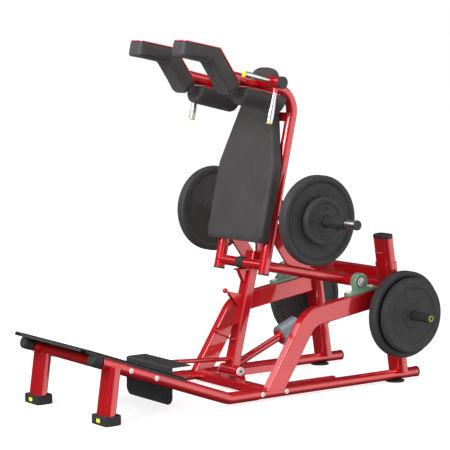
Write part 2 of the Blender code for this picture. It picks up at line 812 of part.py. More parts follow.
def add_roll_pads(carriage):
    """Half-round pads under the arms, which rest on the user's shoulders."""
    rear, front = ROLL_PAD_RANGE
    for side, sign in SIDES:
        bottom = ROLL_PAD_TOP - ROLL_PAD_DEPTH
        curve_height = bottom + ROLL_PAD_RADIUS
        outline = [(ROLL_PAD_RADIUS, ROLL_PAD_TOP), (-ROLL_PAD_RADIUS, ROLL_PAD_TOP)]
        for step in range(11):
            angle = math.pi + math.pi * step / 10
            outline.append(
                (ROLL_PAD_RADIUS * math.cos(angle), curve_height + ROLL_PAD_RADIUS * math.sin(angle))
            )
        centre = carriage_point(sign * ARM_X, 0, (rear + front) / 2)
        pad = drawn(f"roll_pad_{side}", outline, front - rear, CARRIAGE_VIEW, centre)
        as_part(pad, "pad_cover", carriage)


def shoulder_band(lift):
    """The bent line of the shoulder plates, moved down square to itself by the lift."""
    front, bend, tip = (Vector(p) for p in (SHOULDER_FRONT, SHOULDER_BEND, SHOULDER_TIP))
    level, steep = (bend - front).normalized(), (tip - bend).normalized()
    under_level = Vector((level.y, -level.x))
    under_steep = Vector((steep.y, -steep.x))
    spread = (under_level + under_steep).normalized()
    inner = bend + spread * lift / spread.dot(under_level)
    return [front + under_level * lift, inner, tip + under_steep * lift]


def add_shoulder_pads(carriage):
    for side, sign in SIDES:
        centre = Vector((sign * ARM_X, 0, 0))
        sheet = SHOULDER_PLATE_THICKNESS
        plate_outline = shoulder_band(0) + shoulder_band(sheet)[::-1]
        name = f"shoulder_plate_{side}"
        plate = drawn(name, plate_outline, SHOULDER_PAD_WIDTH - 0.01, SIDE_VIEW, centre)
        as_part(plate, "red_paint", carriage)
        top = sheet + GAP
        pad_outline = shoulder_band(top) + shoulder_band(top + SHOULDER_PAD_THICKNESS)[::-1]
        pad = drawn(f"shoulder_pad_{side}", pad_outline, SHOULDER_PAD_WIDTH, SIDE_VIEW, centre)
        as_part(pad, "pad_cover", carriage)


def add_handles(carriage):
    along, forward = TOP_BAR
    reach = TOP_BAR_RADIUS - 0.01
    for side, sign in SIDES:
        x = sign * HANDLE_X
        routes = (
            ("front_handle", (along, forward + reach), (along, forward + reach + HANDLE_LENGTH)),
            ("down_handle", (along - reach, forward), (along - reach - HANDLE_LENGTH, forward)),
        )
        for label, start, end in routes:
            handle = rod(
                f"{label}_{side}",
                carriage_point(x, *start),
                carriage_point(x, *end),
                HANDLE_RADII[0],
                TUBE_SIDES,
                HANDLE_RADII[1],
            )
            cut(handle, top_bar_cutter(f"{label}_end_{side}"))
            as_part(handle, "chrome", carriage)


# ---------------------------------------------------------------- prop


def add_prop_lever(prop):
    """The post with all that is welded to it: hub, shelf, trip wedge, strap, pedal tube and arm."""
    post_size = (*PROP_SECTION, PROP_LENGTH)
    post = box("prop_lever", post_size, prop_point(0, PROP_LENGTH / 2), (-PROP_TILT, 0, 0))
    face = PROP_SECTION[1] / 2
    hub = cross_rod("prop_hub", PROP_HUB_HALF_LENGTH, PROP_PIVOT, PROP_HUB_RADIUS)
    lower_bar = carriage_point(0, LOWER_BAR_ALONG)
    width, depth, sheet = SHELF_SIZE
    shelf_top = lower_bar.z - BUMPER_RADIUS - SHELF_CLEARANCE
    shelf_rear = prop_point(0, (shelf_top - PROP_PIVOT.z) / math.cos(PROP_TILT), face).y + 0.02
    shelf_centre = Vector((0, shelf_rear - (depth + 0.02) / 2, shelf_top - sheet / 2))
    shelf = box("prop_shelf", (width, depth + 0.02, sheet), shelf_centre)
    web_outline = [
        (shelf_rear - depth, shelf_top - sheet / 2),
        (shelf_rear - 0.005, shelf_top - sheet / 2),
        (shelf_rear - 0.005, shelf_top - 0.12),
        (shelf_rear - 0.03, shelf_top - 0.1),
    ]
    web = drawn("prop_web", web_outline, 0.03, SIDE_VIEW, Vector((0, 0, 0)))
    wedge_outline = [(-0.2154, 0.4958), (-0.2076, 0.5098), (-0.13, 0.49), (-0.14, 0.41)]
    wedge = drawn("prop_wedge", wedge_outline, 0.03, SIDE_VIEW, Vector((0, 0, 0)))
    strap_path = [Vector(p) for p in ((-0.15, 0.352), (-0.318, 0.316), (-0.16, 0.25))]
    upper = offset_band(strap_path[:2], 0.007)
    lower = offset_band(strap_path[1:], 0.007)
    strap_top = drawn("strap_top", upper, 0.035, SIDE_VIEW, Vector((0, 0, 0)))
    strap_low = drawn("strap_low", lower, 0.035, SIDE_VIEW, Vector((0, 0, 0)))
    pedal_start = Vector((0, PEDAL_FRONT_Y + PEDAL_DEPTH + 4 * GAP, PEDAL_TOP_Z - 0.016))
    pedal_tube = rod("pedal_tube", pedal_start, prop_point(0, 0.055), PEDAL_TUBE_RADIUS)
    arm_start, arm_end = side_point(0, COUNTER_ARM_START), side_point(0, COUNTER_ARM_END)
    arm = rod("counter_arm", arm_start, arm_end, COUNTER_ARM_RADIUS)
    heading = (arm_end - arm_start).normalized()
    flange_start = arm_end - heading * 0.01
    flange = rod("counter_flange", flange_start, arm_end, COUNTER_FLANGE_RADIUS, PIN_SIDES)
    join(post, hub, shelf, web, wedge, strap_top, strap_low, pedal_tube, arm, flange)
    bore = cross_rod("prop_bore", 0.1, PROP_PIVOT, PROP_PIN_RADIUS + 2 * GAP, PIN_SIDES)
    cut(post, as_cutter(bore))
    as_part(post, "red_paint", prop)


def add_pedal(prop):
    """A folded sheet: a broad front face with round lower corners, and a flange along its top."""
    half, bottom = PEDAL_WIDTH / 2, PEDAL_TOP_Z - PEDAL_HEIGHT
    corners = [(-half, bottom), (half, bottom), (half, PEDAL_TOP_Z), (-half, PEDAL_TOP_Z)]
    outline = rounded_outline(corners, [PEDAL_CORNER_RADIUS, PEDAL_CORNER_RADIUS, 0, 0])
    front_view = Matrix(((1, 0, 0), (0, 0, -1), (0, 1, 0)))
    centre = Vector((0, PEDAL_FRONT_Y + PEDAL_SHEET / 2, 0))
    pedal = drawn("pedal_plate", outline, PEDAL_SHEET, front_view, centre)
    flange_size = (PEDAL_WIDTH, PEDAL_DEPTH, PEDAL_SHEET)
    flange_y = PEDAL_FRONT_Y + PEDAL_DEPTH / 2
    flange = box("pedal_flange", flange_size, (0, flange_y, PEDAL_TOP_Z - PEDAL_SHEET / 2))
    lip_size = (0.06, PEDAL_SHEET, 0.04)
    lip = box("pedal_lip", lip_size, (0, PEDAL_FRONT_Y + PEDAL_DEPTH - 0.003, PEDAL_TOP_Z - 0.02))
    as_part(join(pedal, flange, lip), "black_plate", prop)


def add_counterweight(prop):
    start, end = side_point(0, COUNTER_ARM_START), side_point(0, COUNTER_ARM_END)
    heading = (end - start).normalized()
    near = end + heading * GAP
    far = near + heading * COUNTERWEIGHT_LENGTH
    weight = rod("counterweight", near, far, COUNTERWEIGHT_RADIUS, PIN_SIDES)
    as_part(weight, "steel_grey", prop)


def add_release_knob(prop):
    """A ball on a short stem that stands on the tip of the trip wedge."""
    tip, centre = side_point(0, (-0.2115, 0.5028)), side_point(0, KNOB_CENTRE)
    bpy.ops.mesh.primitive_uv_sphere_add(
        segments=12, ring_count=8, radius=KNOB_RADIUS, location=centre
    )
    knob = bpy.context.object
    knob.name = "release_knob"
    heading = (centre - tip).normalized()
    join(knob, rod("knob_stem", tip + heading * 2 * GAP, centre, 0.005, 12))
    as_part(knob, "red_knob", prop)


def add_prop_yoke():
    """Two ears on a base plate, with the fixed pin that the prop swings on."""
    base_z = RAIL_Z + CROSS_MEMBER_SIZE[1] / 2 + GAP
    plate_size = (2 * YOKE_EAR_X + YOKE_EAR_THICKNESS, 0.06, 0.006)
    yoke = box("prop_yoke", plate_size, (0, CROSS_MEMBER_Y, base_z + 0.003))
    outline = [(CROSS_MEMBER_Y - 0.03, base_z), (CROSS_MEMBER_Y + 0.03, base_z)]
    for step in range(9):
        angle = math.radians(-10) + math.radians(200) * step / 8
        outline.append(
            (PROP_PIVOT.y + 0.026 * math.cos(angle), PROP_PIVOT.z + 0.026 * math.sin(angle))
        )
    outer = YOKE_EAR_X + YOKE_EAR_THICKNESS / 2
    pin = cross_rod("prop_pin", outer + 0.006, PROP_PIVOT, PROP_PIN_RADIUS, PIN_SIDES)
    for side, sign in SIDES:
        centre = Vector((sign * YOKE_EAR_X, 0, 0))
        ear = drawn(f"yoke_ear_{side}", outline, YOKE_EAR_THICKNESS, SIDE_VIEW, centre)
        start = PROP_PIVOT + Vector((sign * (outer - 0.002), 0, 0))
        end = start + Vector((sign * 0.01, 0, 0))
        join(yoke, ear, rod(f"pin_head_{side}", start, end, PROP_PIN_HEAD_RADIUS, PIN_SIDES))
    as_part(join(yoke, pin), "red_paint")


# ---------------------------------------------------------------- weight plates


def plate_profile(radius, thickness):
    """A weight plate's section: a round-edged rim, a dished outer face with a hub, a flat back."""
    half, round_off = thickness / 2, thickness * 0.3
    rim, hub, face = radius * 0.89, radius * 0.3, half - 0.006
    return [
        (PLATE_BORE_RADIUS, half),
        (hub, half),
        (hub + 0.006, face),
        (rim - 0.008, face),
        (rim, half),
        (radius - round_off, half),
        (radius, half - round_off),
        (radius, -half + round_off),
        (radius - round_off, -half),
        (PLATE_BORE_RADIUS, -half),
    ]


def add_plate(name, sign, radius, thickness, centre, parent=None):
    steps = 20 + round(40 * (radius - SMALL_PLATE_RADIUS))
    plate = turned(name, plate_profile(radius, thickness), centre, 2 * (steps // 2), sign)
    as_part(plate, "black_plate", parent)


def add_stored_plates():
    y = upright_y(STORAGE_Z)
    inner = RAIL_X + UPRIGHT_SECTION[0] / 2 + 0.01
    big_x = inner + BIG_PLATE_THICKNESS / 2
    outer_x = inner + BIG_PLATE_THICKNESS + PLATE_GAP + STORED_PLATE_THICKNESS / 2
    for side, sign in SIDES:
        big = Vector((sign * big_x, y, STORAGE_Z))
        outer = Vector((sign * outer_x, y, STORAGE_Z))
        name = f"stored_big_plate_{side}"
        add_plate(name, sign, BIG_PLATE_RADIUS, BIG_PLATE_THICKNESS, big)
        name = f"stored_plate_{side}"
        add_plate(name, sign, STORED_PLATE_RADIUS, STORED_PLATE_THICKNESS, outer)


def add_loaded_plates(carriage):
    inner = HORN_STOP_X + 0.005 + PLATE_GAP
    big_x = inner + BIG_PLATE_THICKNESS / 2
    small_x = inner + BIG_PLATE_THICKNESS + PLATE_GAP + SMALL_PLATE_THICKNESS / 2
    for side, sign in SIDES:
        big = side_point(sign * big_x, HORN)
        small = side_point(sign * small_x, HORN)
        name = f"loaded_big_plate_{side}"
        add_plate(name, sign, BIG_PLATE_RADIUS, BIG_PLATE_THICKNESS, big, carriage)
        name = f"loaded_small_plate_{side}"
        add_plate(name, sign, SMALL_PLATE_RADIUS, SMALL_PLATE_THICKNESS, small, carriage)
        add_collar(side, sign, small_x + SMALL_PLATE_THICKNESS / 2 + PLATE_GAP, carriage)


def add_collar(side, sign, start_x, carriage):
    """A lock collar that keeps the plates on the horn: a sleeve with a thicker outer end."""
    half = COLLAR_LENGTH / 2
    thin, thick = COLLAR_RADII
    profile = [
        (PLATE_BORE_RADIUS, half),
        (thick, half),
        (thick, -half / 4),
        (thin, -half / 3),
        (thin, -half),
        (PLATE_BORE_RADIUS, -half),
    ]
    centre = side_point(sign * (start_x + half), HORN)
    as_part(turned(f"lock_collar_{side}", profile, centre, 16, sign), "black_sleeve", carriage)


def main():
    clear_scene()
    new_collection("SquatMachine")
    cutters = new_collection("Cutters")
    cutters.hide_render = True
    make_materials()
    carriage = joint_empty("carriage_joint", PIVOT)
    prop = joint_empty("prop_joint", PROP_PIVOT)
    add_rails()
    add_base_tubes()
    add_front_legs()
    add_leg_feet()
    add_front_cross_tube()
    add_footplate()
    add_cross_member()
    add_rear_feet()
    add_rear_uprights()
    add_rear_beam()
    add_bearing_frames()
    add_pillow_blocks()
    add_storage_horns()
    add_side_tubes(carriage)
    add_shoulder_arms(carriage)
    add_top_crossbar(carriage)
    add_lower_crossbar(carriage)
    add_lever_frame(carriage)
    add_shaft(carriage)
    add_trusses(carriage)
    add_horn_bar(carriage)
    add_back_pad(carriage)
    add_roll_pads(carriage)
    add_shoulder_pads(carriage)
    add_handles(carriage)
    add_prop_lever(prop)
    add_pedal(prop)
    add_counterweight(prop)
    add_release_knob(prop)
    add_prop_yoke()
    add_stored_plates()
    add_loaded_plates(carriage)
    stand_over_origin()


main()
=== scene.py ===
"""The looks of a plate-loaded lever squat machine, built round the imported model.

Metres, +Z up. The user faces -Y, and +X is the user's left. Every shape is drawn from the same base lines
as the CAD, whose Y starts at the cross member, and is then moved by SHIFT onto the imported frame.
"""
import json
import math
from contextlib import contextmanager

import bmesh
import bpy
import numpy as np
from mathutils import Matrix, Vector
from mathutils.bvhtree import BVHTree


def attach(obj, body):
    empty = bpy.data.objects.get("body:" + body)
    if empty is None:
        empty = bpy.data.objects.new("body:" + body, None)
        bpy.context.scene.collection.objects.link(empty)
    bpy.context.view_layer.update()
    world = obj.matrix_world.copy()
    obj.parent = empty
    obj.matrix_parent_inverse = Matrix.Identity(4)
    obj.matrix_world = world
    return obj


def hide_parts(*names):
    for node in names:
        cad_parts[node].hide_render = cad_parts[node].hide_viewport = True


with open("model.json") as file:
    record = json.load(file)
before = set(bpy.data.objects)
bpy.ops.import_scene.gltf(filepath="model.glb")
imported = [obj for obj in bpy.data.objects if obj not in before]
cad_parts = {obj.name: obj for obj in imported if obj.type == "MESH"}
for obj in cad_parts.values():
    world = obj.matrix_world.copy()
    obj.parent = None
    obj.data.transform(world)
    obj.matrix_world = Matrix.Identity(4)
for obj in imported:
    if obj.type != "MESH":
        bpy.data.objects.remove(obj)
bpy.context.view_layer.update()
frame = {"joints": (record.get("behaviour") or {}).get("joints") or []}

JOINTS = {joint["name"]: joint for joint in frame["joints"]}
LATERAL = Vector((1, 0, 0))
BACKWARD = Vector((0, 1, 0))

# Carriage hinge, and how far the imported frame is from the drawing
PIVOT = Vector((0, 0.39, 0.546))
SHIFT = Vector(JOINTS["carriage_hinge"]["pos_m"]) - PIVOT

# Base
RAIL_X = 0.31
RAIL_Z = 0.037
RAIL_RADIUS = 0.027
RAIL_FRONT_Y = -0.27
RAIL_REAR_Y = 0.795
RAIL_CAP = (0.006, 0.0284)
RAIL_BOLTS_Y = (-0.252, -0.101)
REAR_FOOT_Y = 0.642
REAR_FOOT = (0.0095, 0.05)
CROSS_MEMBER_Y = -0.19
CROSS_MEMBER_SIZE = (0.06, 0.046)
CORNER_GUSSET = 0.085
INNER_BAR_X = 0.235
INNER_BAR_SIZE = (0.03, 0.477, 0.04)
BOLT_SINK = 0.0015

# Inclined front end: distances run up the slope from the bend of the base tube
SLOPE = math.radians(19.4)
SLOPE_TURN = Matrix.Rotation(-SLOPE, 3, "X")
SLOPE_CORNER = (-0.448, RAIL_Z)
BASE_TUBE_RADIUS = 0.0295
BASE_BEND = 0.14
BASE_BOLTS = (0.463, 0.615)
SOCKET_RADIUS = 0.0318
SOCKET_RANGE = (0.641, 0.775)
SLEEVE_END = 0.836
LEG_SECTION = (0.115, 0.058)
LEG_BOTTOM = (-1.153, 0.03)
LEG_TOP = (-1.12, 0.27)
SHOE_SIZE = (0.13, 0.1, 0.045)
SHOE_Y = -1.1445
FRONT_CROSS_DISTANCE = 0.716
FOOTPLATE_RANGE = (0.2945, 0.8787)
FOOTPLATE_WIDTH = 0.66
FOOTPLATE_LIFT = 0.0324
FOOTPLATE_SHEET = 0.0068
FOOTPLATE_FOLD = (0.0185, 0.0035)
FOOTPLATE_LIP = 0.556
TREAD_PITCH = 0.026
LUG_SIZE = (0.0105, 0.0038)

# Bearing frames and rear uprights
UPRIGHT_SECTION = (0.12, 0.06)
UPRIGHT_BOTTOM = (0.667, 0.052)
UPRIGHT_TOP = (0.547, 0.782)
UPRIGHT_CAP = 0.019
CUFF_RANGE = (0.5, 0.637)
CUFF_TAB_Z = 0.59
BEAM_SIZE = (0.05, 0.1)
BEAM_Z = 0.55
BEARING_FRAME_THICKNESS = 0.05
BEARING_FRAME_DEPTH = 0.095
BEARING_FRAME_PATH = ((-0.173, RAIL_Z), (0.0554, 0.3888), (0.6, 0.4705))
BEARING_FRAME_BEND = 0.13
STORAGE_Z = 0.37
STORAGE_HORN_RANGE = (0.33, 0.61)
SHAFT_RADIUS = 0.0175
SHAFT_END = 0.336
BLOCK_HALF_LENGTH = 0.095
BLOCK_WIDTH = 0.05
BOSS_WIDTH = 0.034
BLOCK_RADIUS = 0.045
BLOCK_NECK = 0.0405
BLOCK_FOOT = 0.018
BLOCK_BOLT_REACH = 0.073

# Carriage: "along" runs up the back tubes, "forward" is square to them, towards the user's front
CARRIAGE_TILT = math.radians(12.4)
CARRIAGE_FOOT = Vector((0, -0.137, 0.609))
ARM_X = 0.187
SIDE_TUBE_RADIUS = 0.028
ARM_ALONG = 0.926
SIDE_BEND = 0.12
TOP_BAR = (0.934, 0.235)
TOP_BAR_RADIUS = 0.03
TOP_BAR_END = 0.38
LOWER_BAR_ALONG = 0.045
LOWER_BAR_RADIUS = 0.025
BUMPER = (0.03, 0.0298)
LEVER_RADIUS = 0.026
LEVER_SLEEVE = (0.275, 0.027)
SHAFT_COLLAR = (0.012, 0.03)
HORN = (0.01, 0.893)
HORN_RADIUS = 0.0245
HORN_END = 0.738
HORN_STOP_X = 0.397
HORN_STOP = (0.005, 0.038)
BORE_RADIUS = 0.0257
SUPPORT_PATH = ((0.133, 0.599), (0.133, 0.74), (-0.048, 0.965))
BRACE_OUTLINE = ((0.0344, 0.6196), (0.143, 0.5971), (-0.0734, 0.898), (-0.0951, 0.7997))
TRUSS_FOOT = (0.045, 0.17, 0.006)
GRIP_X = 0.327
GRIP_SOCKET = (0.025, 0.0125)
GRIP_LENGTH = 0.147
GRIP_CAP = (0.0065, 0.0152)

# Prop
PROP_PIVOT = Vector((0, -0.197, 0.108))
PROP_TILT = math.radians(13.3)
PROP_SECTION = (0.07, 0.05)
PROP_LENGTH = 0.615
PROP_HUB = (0.062, 0.027)
PROP_SHELF = (0.056, 0.085, 0.008)
PROP_WEDGE = ((-0.14, 0.41), (-0.13, 0.49), (-0.2076, 0.5098), (-0.2154, 0.4958))
PROP_STRAP = ((-0.15, 0.352), (-0.318, 0.316), (-0.16, 0.25))
YOKE_EAR_X = 0.069
PEDAL_FRONT_Y = -0.705
PEDAL_TOP_Z = 0.203
PEDAL_SIZE = (0.4, 0.115, 0.191)
PEDAL_SHEET = 0.006
PEDAL_CORNER = 0.0465
PEDAL_PITCH = 0.024
COUNTER_ARM = ((-0.16, 0.134), (0.118, 0.249))
COUNTERWEIGHT = (0.12, 0.055)
KNOB_STEM = (-0.2115, 0.5028)
KNOB_CENTRE = (-0.236, 0.5163)
KNOB_RADIUS = 0.0135

# Weight plates: radius and thickness, then rings as (radius, depth of recess)
BIG_PLATE = (0.225, 0.055)
STORED_PLATE = (0.195, 0.045)
SMALL_PLATE = (0.12, 0.035)
BIG_RINGS = (
    (0.052, 0.0), (0.056, 0.004), (0.075, 0.0045), (0.08, 0.009), (0.185, 0.011), (0.199, 0.002),
    (0.204, 0.0)
)
STORED_RINGS = (
    (0.06, 0.0), (0.064, 0.005), (0.142, 0.005), (0.148, 0.001), (0.152, 0.001), (0.17, 0.0)
)
SMALL_RINGS = (
    (0.034, -0.003), (0.037, 0.001), (0.052, 0.0015), (0.055, 0.0055), (0.089, 0.006), (0.094, 0.001),
    (0.1, 0.0)
)
# Ribs: inner and outer radius, depth of the face they stand on, and how many in an arc
BIG_RIBS = (0.13, 0.158, 0.0104, 6)
SMALL_RIBS = (0.062, 0.078, 0.0058, 4)
RIB_SPACING = 0.15
RIB_HALF_WIDTH = 0.0042
PLATE_GAP = 0.002
COLLAR_LENGTH = 0.159

# Pads
BACK_PAD_RANGE = (0.036, 0.09)
BACK_PAD_CORNERS = (
    (0.238, 0.145, 0.035), (0.239, 0.545, 0.03), (0.135, 0.86, 0.06), (0.09, 1.048, 0.08)
)
ROLL_PAD_RADIUS = 0.073
ROLL_PAD_TOP = 0.889
ROLL_PAD_DEPTH = 0.092
ROLL_PAD_RANGE = (0.097, 0.35)
SHOULDER_WIDTH = 0.128
SHOULDER_THICKNESS = 0.075
SHOULDER_SHEET = 0.005
SHOULDER_LINE = ((-0.656, 1.7793), (-0.442, 1.741), (-0.311, 1.5499))
SHOULDER_CORNER = 0.036
PAD_CLEARANCE = 0.0025
PAD_STEPS = 20
PADS = []

SIDE_VIEW = Matrix(((0, 0, 1), (1, 0, 0), (0, 1, 0)))
FRONT_VIEW = Matrix(((1, 0, 0), (0, 0, -1), (0, 1, 0)))
FLAT_VIEW = Matrix.Identity(3)
CARRIAGE_VIEW = Matrix(
    (
        (1, 0, 0),
        (0, math.sin(CARRIAGE_TILT), -math.cos(CARRIAGE_TILT)),
        (0, math.cos(CARRIAGE_TILT), math.sin(CARRIAGE_TILT)),
    )
)


class Side:
    """One side of the machine: where its rail and its carriage arm are. It prints as its name."""

    def __init__(self, name, sign):
        self.name = name
        self.sign = sign
        self.out = Vector((sign, 0, 0))
        self.rail = sign * RAIL_X
        self.arm = sign * ARM_X

    def __str__(self):
        return self.name


SIDES = (Side("left", 1), Side("right", -1))


def both_sides(add):
    """Makes a builder that draws the left side's pieces and then the right side's."""

    def add_both():
        for side in SIDES:
            add(side)

    return add_both


# Materials


def fill(tree, sockets, inputs):
    """Sets each named socket to a value, or links another node's output to it."""
    for name, value in inputs.items():
        if isinstance(value, bpy.types.NodeSocket):
            tree.links.new(value, sockets[name])
        else:
            sockets[name].default_value = value


def node(tree, kind, output, inputs, **settings):
    """One output of a new node."""
    added = tree.nodes.new("ShaderNode" + kind)
    for name, value in settings.items():
        setattr(added, name, value)
    fill(tree, added.inputs, inputs)
    return added.outputs[output]


def remapped(tree, value, source, target, easing="LINEAR"):
    """The value's source range mapped to the target range."""
    names = ("From Min", "From Max", "To Min", "To Max")
    inputs = dict(zip(names, source + target), Value=value)
    return node(tree, "MapRange", "Result", inputs, interpolation_type=easing)


def noise(scale, detail=3.0, stretch=None):
    return "TexNoise", "Fac", {"Scale": scale, "Detail": detail}, stretch


def cells(scale):
    return "TexVoronoi", "Distance", {"Scale": scale}, None


def shades(colour, spread):
    """A darker and a lighter version of the colour."""
    return [tuple(min(1.0, part * share) for part in colour) for share in (1 - spread, 1 + spread)]


def finish(name, tone, colours, rough=None, bumps=(), **shader):
    """A procedural material: its tone and roughness wander, and each bump lies on the one before."""
    material = bpy.data.materials.new(name)
    material.use_nodes = True
    tree = material.node_tree
    place = node(tree, "TexCoord", "Object", {})

    def pattern(source):
        kind, output, inputs, stretch = source
        vector = node(tree, "Mapping", "Vector", {"Vector": place, "Scale": stretch}) if stretch else place
        return node(tree, kind, output, {"Vector": vector, **inputs})

    colour = node(tree, "ValToRGB", "Color", {"Fac": pattern(tone)})
    for element, position, part in zip(colour.node.color_ramp.elements, (0.35, 0.65), colours):
        element.position = position
        element.color = (*part, 1)
    shader["Base Color"] = colour
    if rough:
        shader["Roughness"] = remapped(tree, pattern(rough[0]), (0.3, 0.7), rough[1:])
    for source, strength, depth in bumps:
        inputs = {"Height": pattern(source), "Strength": strength, "Distance": depth}
        if "Normal" in shader:
            inputs["Normal"] = shader["Normal"]
        shader["Normal"] = node(tree, "Bump", "Normal", inputs)
    sockets = {name.replace("_", " "): value for name, value in shader.items()}
    fill(tree, tree.nodes["Principled BSDF"].inputs, sockets)
    return material


def moulded_plastic(name, colour, roughness):
    rough = (noise(320.0), roughness, roughness + 0.12)
    return finish(name, noise(45.0), shades(colour, 0.08), rough, [(noise(700.0, 2.0), 0.1, 0.0002)])


# Candy red over steel: a flake that glints a little, under a clear coat with slight orange peel
RED = finish(
    "red_clear_coat_paint", noise(5.0), shades((0.74, 0.006, 0.014), 0.07), (noise(1400.0, 1.0), 0.26, 0.36),
    [(noise(900.0, 1.0), 0.12, 0.0002), (noise(70.0, 2.0), 0.05, 0.0006)],
    Metallic=0.5, Coat_Weight=1.0, Coat_Roughness=0.05, Coat_IOR=1.88,
)
# Charcoal vinyl with a pebbled leather grain
VINYL = finish(
    "charcoal_grained_vinyl", noise(9.0), shades((0.043, 0.0385, 0.039), 0.12), (noise(140.0), 0.46, 0.6),
    [(cells(520.0), 0.3, 0.0004), (noise(60.0, 4.0), 0.12, 0.0008)],
    Specular_IOR_Level=0.42, Sheen_Weight=0.12, Sheen_Roughness=0.5,
)
# Matt moulded rubber with fine crumbs of a lighter grey
PLATE_RUBBER = finish(
    "moulded_plate_rubber", noise(420.0, 2.0), ((0.034, 0.034, 0.035), (0.05, 0.05, 0.051)),
    (noise(30.0), 0.5, 0.66), [(noise(650.0, 2.0), 0.18, 0.0003), (noise(40.0), 0.06, 0.0008)],
    Specular_IOR_Level=0.4,
)
FOOT_RUBBER = finish(
    "black_foot_rubber", noise(60.0), shades((0.026, 0.026, 0.027), 0.2), (noise(220.0), 0.62, 0.8),
    [(noise(500.0, 2.0), 0.2, 0.0003)],
)
TREAD = finish(
    "black_textured_powder_coat", noise(35.0), shades((0.034, 0.034, 0.036), 0.15),
    (noise(180.0), 0.5, 0.68), [(cells(900.0), 0.3, 0.0003)],
)
CHROME = finish(
    "polished_chrome", noise(30.0), ((0.83, 0.83, 0.85), (0.9, 0.9, 0.91)), (noise(60.0, 2.0), 0.22, 0.28),
    [(noise(40.0, 1.0), 0.02, 0.0002)], Metallic=1.0,
)
# Steel with hairline turning marks
STEEL = finish(
    "turned_shaft_steel", noise(90.0), ((0.6, 0.6, 0.61), (0.74, 0.74, 0.75)), (noise(240.0), 0.2, 0.34),
    [(noise(420.0, 1.0, (8.0, 0.3, 0.3)), 0.1, 0.0001)], Metallic=1.0,
)
ZINC = finish(
    "bright_zinc", noise(160.0), ((0.84, 0.84, 0.83), (0.95, 0.95, 0.94)), (noise(300.0), 0.2, 0.32),
    [(noise(500.0), 0.06, 0.0001)], Metallic=0.2,
)
# Hammered green enamel on a sand casting
GREEN = finish(
    "hammered_green_enamel", noise(55.0), shades((0.24, 0.4, 0.285), 0.16), (noise(120.0), 0.28, 0.42),
    [(cells(210.0), 0.4, 0.0008), (noise(500.0), 0.12, 0.0003)], Metallic=0.25, Coat_Weight=0.4,
)
SLATE = finish(
    "slate_blue_enamel", noise(25.0), shades((0.3, 0.36, 0.42), 0.1), (noise(200.0), 0.28, 0.4),
    [(noise(90.0), 0.06, 0.0005)], Metallic=0.3,
)
BLACK = moulded_plastic("black_moulded_plastic", (0.03, 0.03, 0.031), 0.36)
YELLOW = moulded_plastic("yellow_moulded_plastic", (0.86, 0.85, 0.03), 0.34)
KNOB = moulded_plastic("red_gloss_plastic", (0.62, 0.012, 0.02), 0.14)


# Placing


@contextmanager
def editing(mesh):
    """The mesh as a bmesh, written back at the end."""
    work = bmesh.new()
    work.from_mesh(mesh)
    yield work
    work.to_mesh(mesh)
    work.free()


def link(obj):
    bpy.context.scene.collection.objects.link(obj)
    return obj


def solid(name, mesh):
    """A mesh object with its seams welded and its faces turned out."""
    with editing(mesh) as work:
        bmesh.ops.remove_doubles(work, verts=work.verts, dist=0.00001)
        bmesh.ops.recalc_face_normals(work, faces=work.faces)
    return link(bpy.data.objects.new(name, mesh))


def settle(obj, body, material, *replaced):
    """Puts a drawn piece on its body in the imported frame, with its material and the CAD nodes it shows."""
    obj.data.transform(Matrix.Translation(SHIFT))
    obj.data.materials.clear()
    obj.data.materials.append(material)
    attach(obj, body)
    if replaced:
        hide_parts(*replaced)
    return obj


def piece(obj, body, material, *replaced, angle=32):
    """A hard piece: smooth over its curves and crisp at its corners."""
    obj.data.shade_smooth()
    obj.data.set_sharp_from_angle(angle=math.radians(angle))
    obj.modifiers.new("Weighted", "WEIGHTED_NORMAL").keep_sharp = True
    return settle(obj, body, material, *replaced)


# Points and outlines


def side_point(x, pair):
    return Vector((x, pair[0], pair[1]))


def slope_point(x, distance, lift=0.0):
    """A point on the inclined front end, lifted square to the slope."""
    y = SLOPE_CORNER[0] - distance * math.cos(SLOPE) + lift * math.sin(SLOPE)
    return Vector((x, y, SLOPE_CORNER[1] + distance * math.sin(SLOPE) + lift * math.cos(SLOPE)))


def upright_point(x, z):
    share = (z - UPRIGHT_BOTTOM[1]) / (UPRIGHT_TOP[1] - UPRIGHT_BOTTOM[1])
    return Vector((x, UPRIGHT_BOTTOM[0] + share * (UPRIGHT_TOP[0] - UPRIGHT_BOTTOM[0]), z))


def carriage_point(x, along, forward=0.0):
    return CARRIAGE_FOOT + CARRIAGE_VIEW @ Vector((x, along, forward))


def prop_point(x, along, forward=0.0):
    """A point of the prop: along its post from the pivot, and forward of its centre line."""
    y = along * math.sin(PROP_TILT) - forward * math.cos(PROP_TILT)
    return PROP_PIVOT + Vector((x, y, along * math.cos(PROP_TILT) + forward * math.sin(PROP_TILT)))


def flat(pairs):
    return [Vector(pair) for pair in pairs]


def arc(centre, radius, start, turn, steps):
    """Points along an arc from the start angle through the turn, both in degrees."""
    angles = [math.radians(start + turn * step / steps) for step in range(steps + 1)]
    return [Vector((centre[0] + radius * math.cos(a), centre[1] + radius * math.sin(a))) for a in angles]


def arc_points(before, corner, after, radius, steps):
    """The corner rounded to the radius, as points from one tangent point to the other."""
    arriving = (corner - before).normalized()
    leaving = (after - corner).normalized()
    turn = arriving.angle(leaving, 0.0)
    if turn < 0.01 or radius <= 0:
        return [corner]
    reach = radius * math.tan(turn / 2)
    room = 0.49 * min((corner - before).length, (after - corner).length)
    radius *= min(1.0, room / reach)
    start = corner - arriving * min(reach, room)
    sideways = (leaving - arriving * arriving.dot(leaving)).normalized()
    points = []
    for step in range(steps + 1):
        angle = turn * step / steps
        points.append(start + (arriving * math.sin(angle) + sideways * (1 - math.cos(angle))) * radius)
    return points


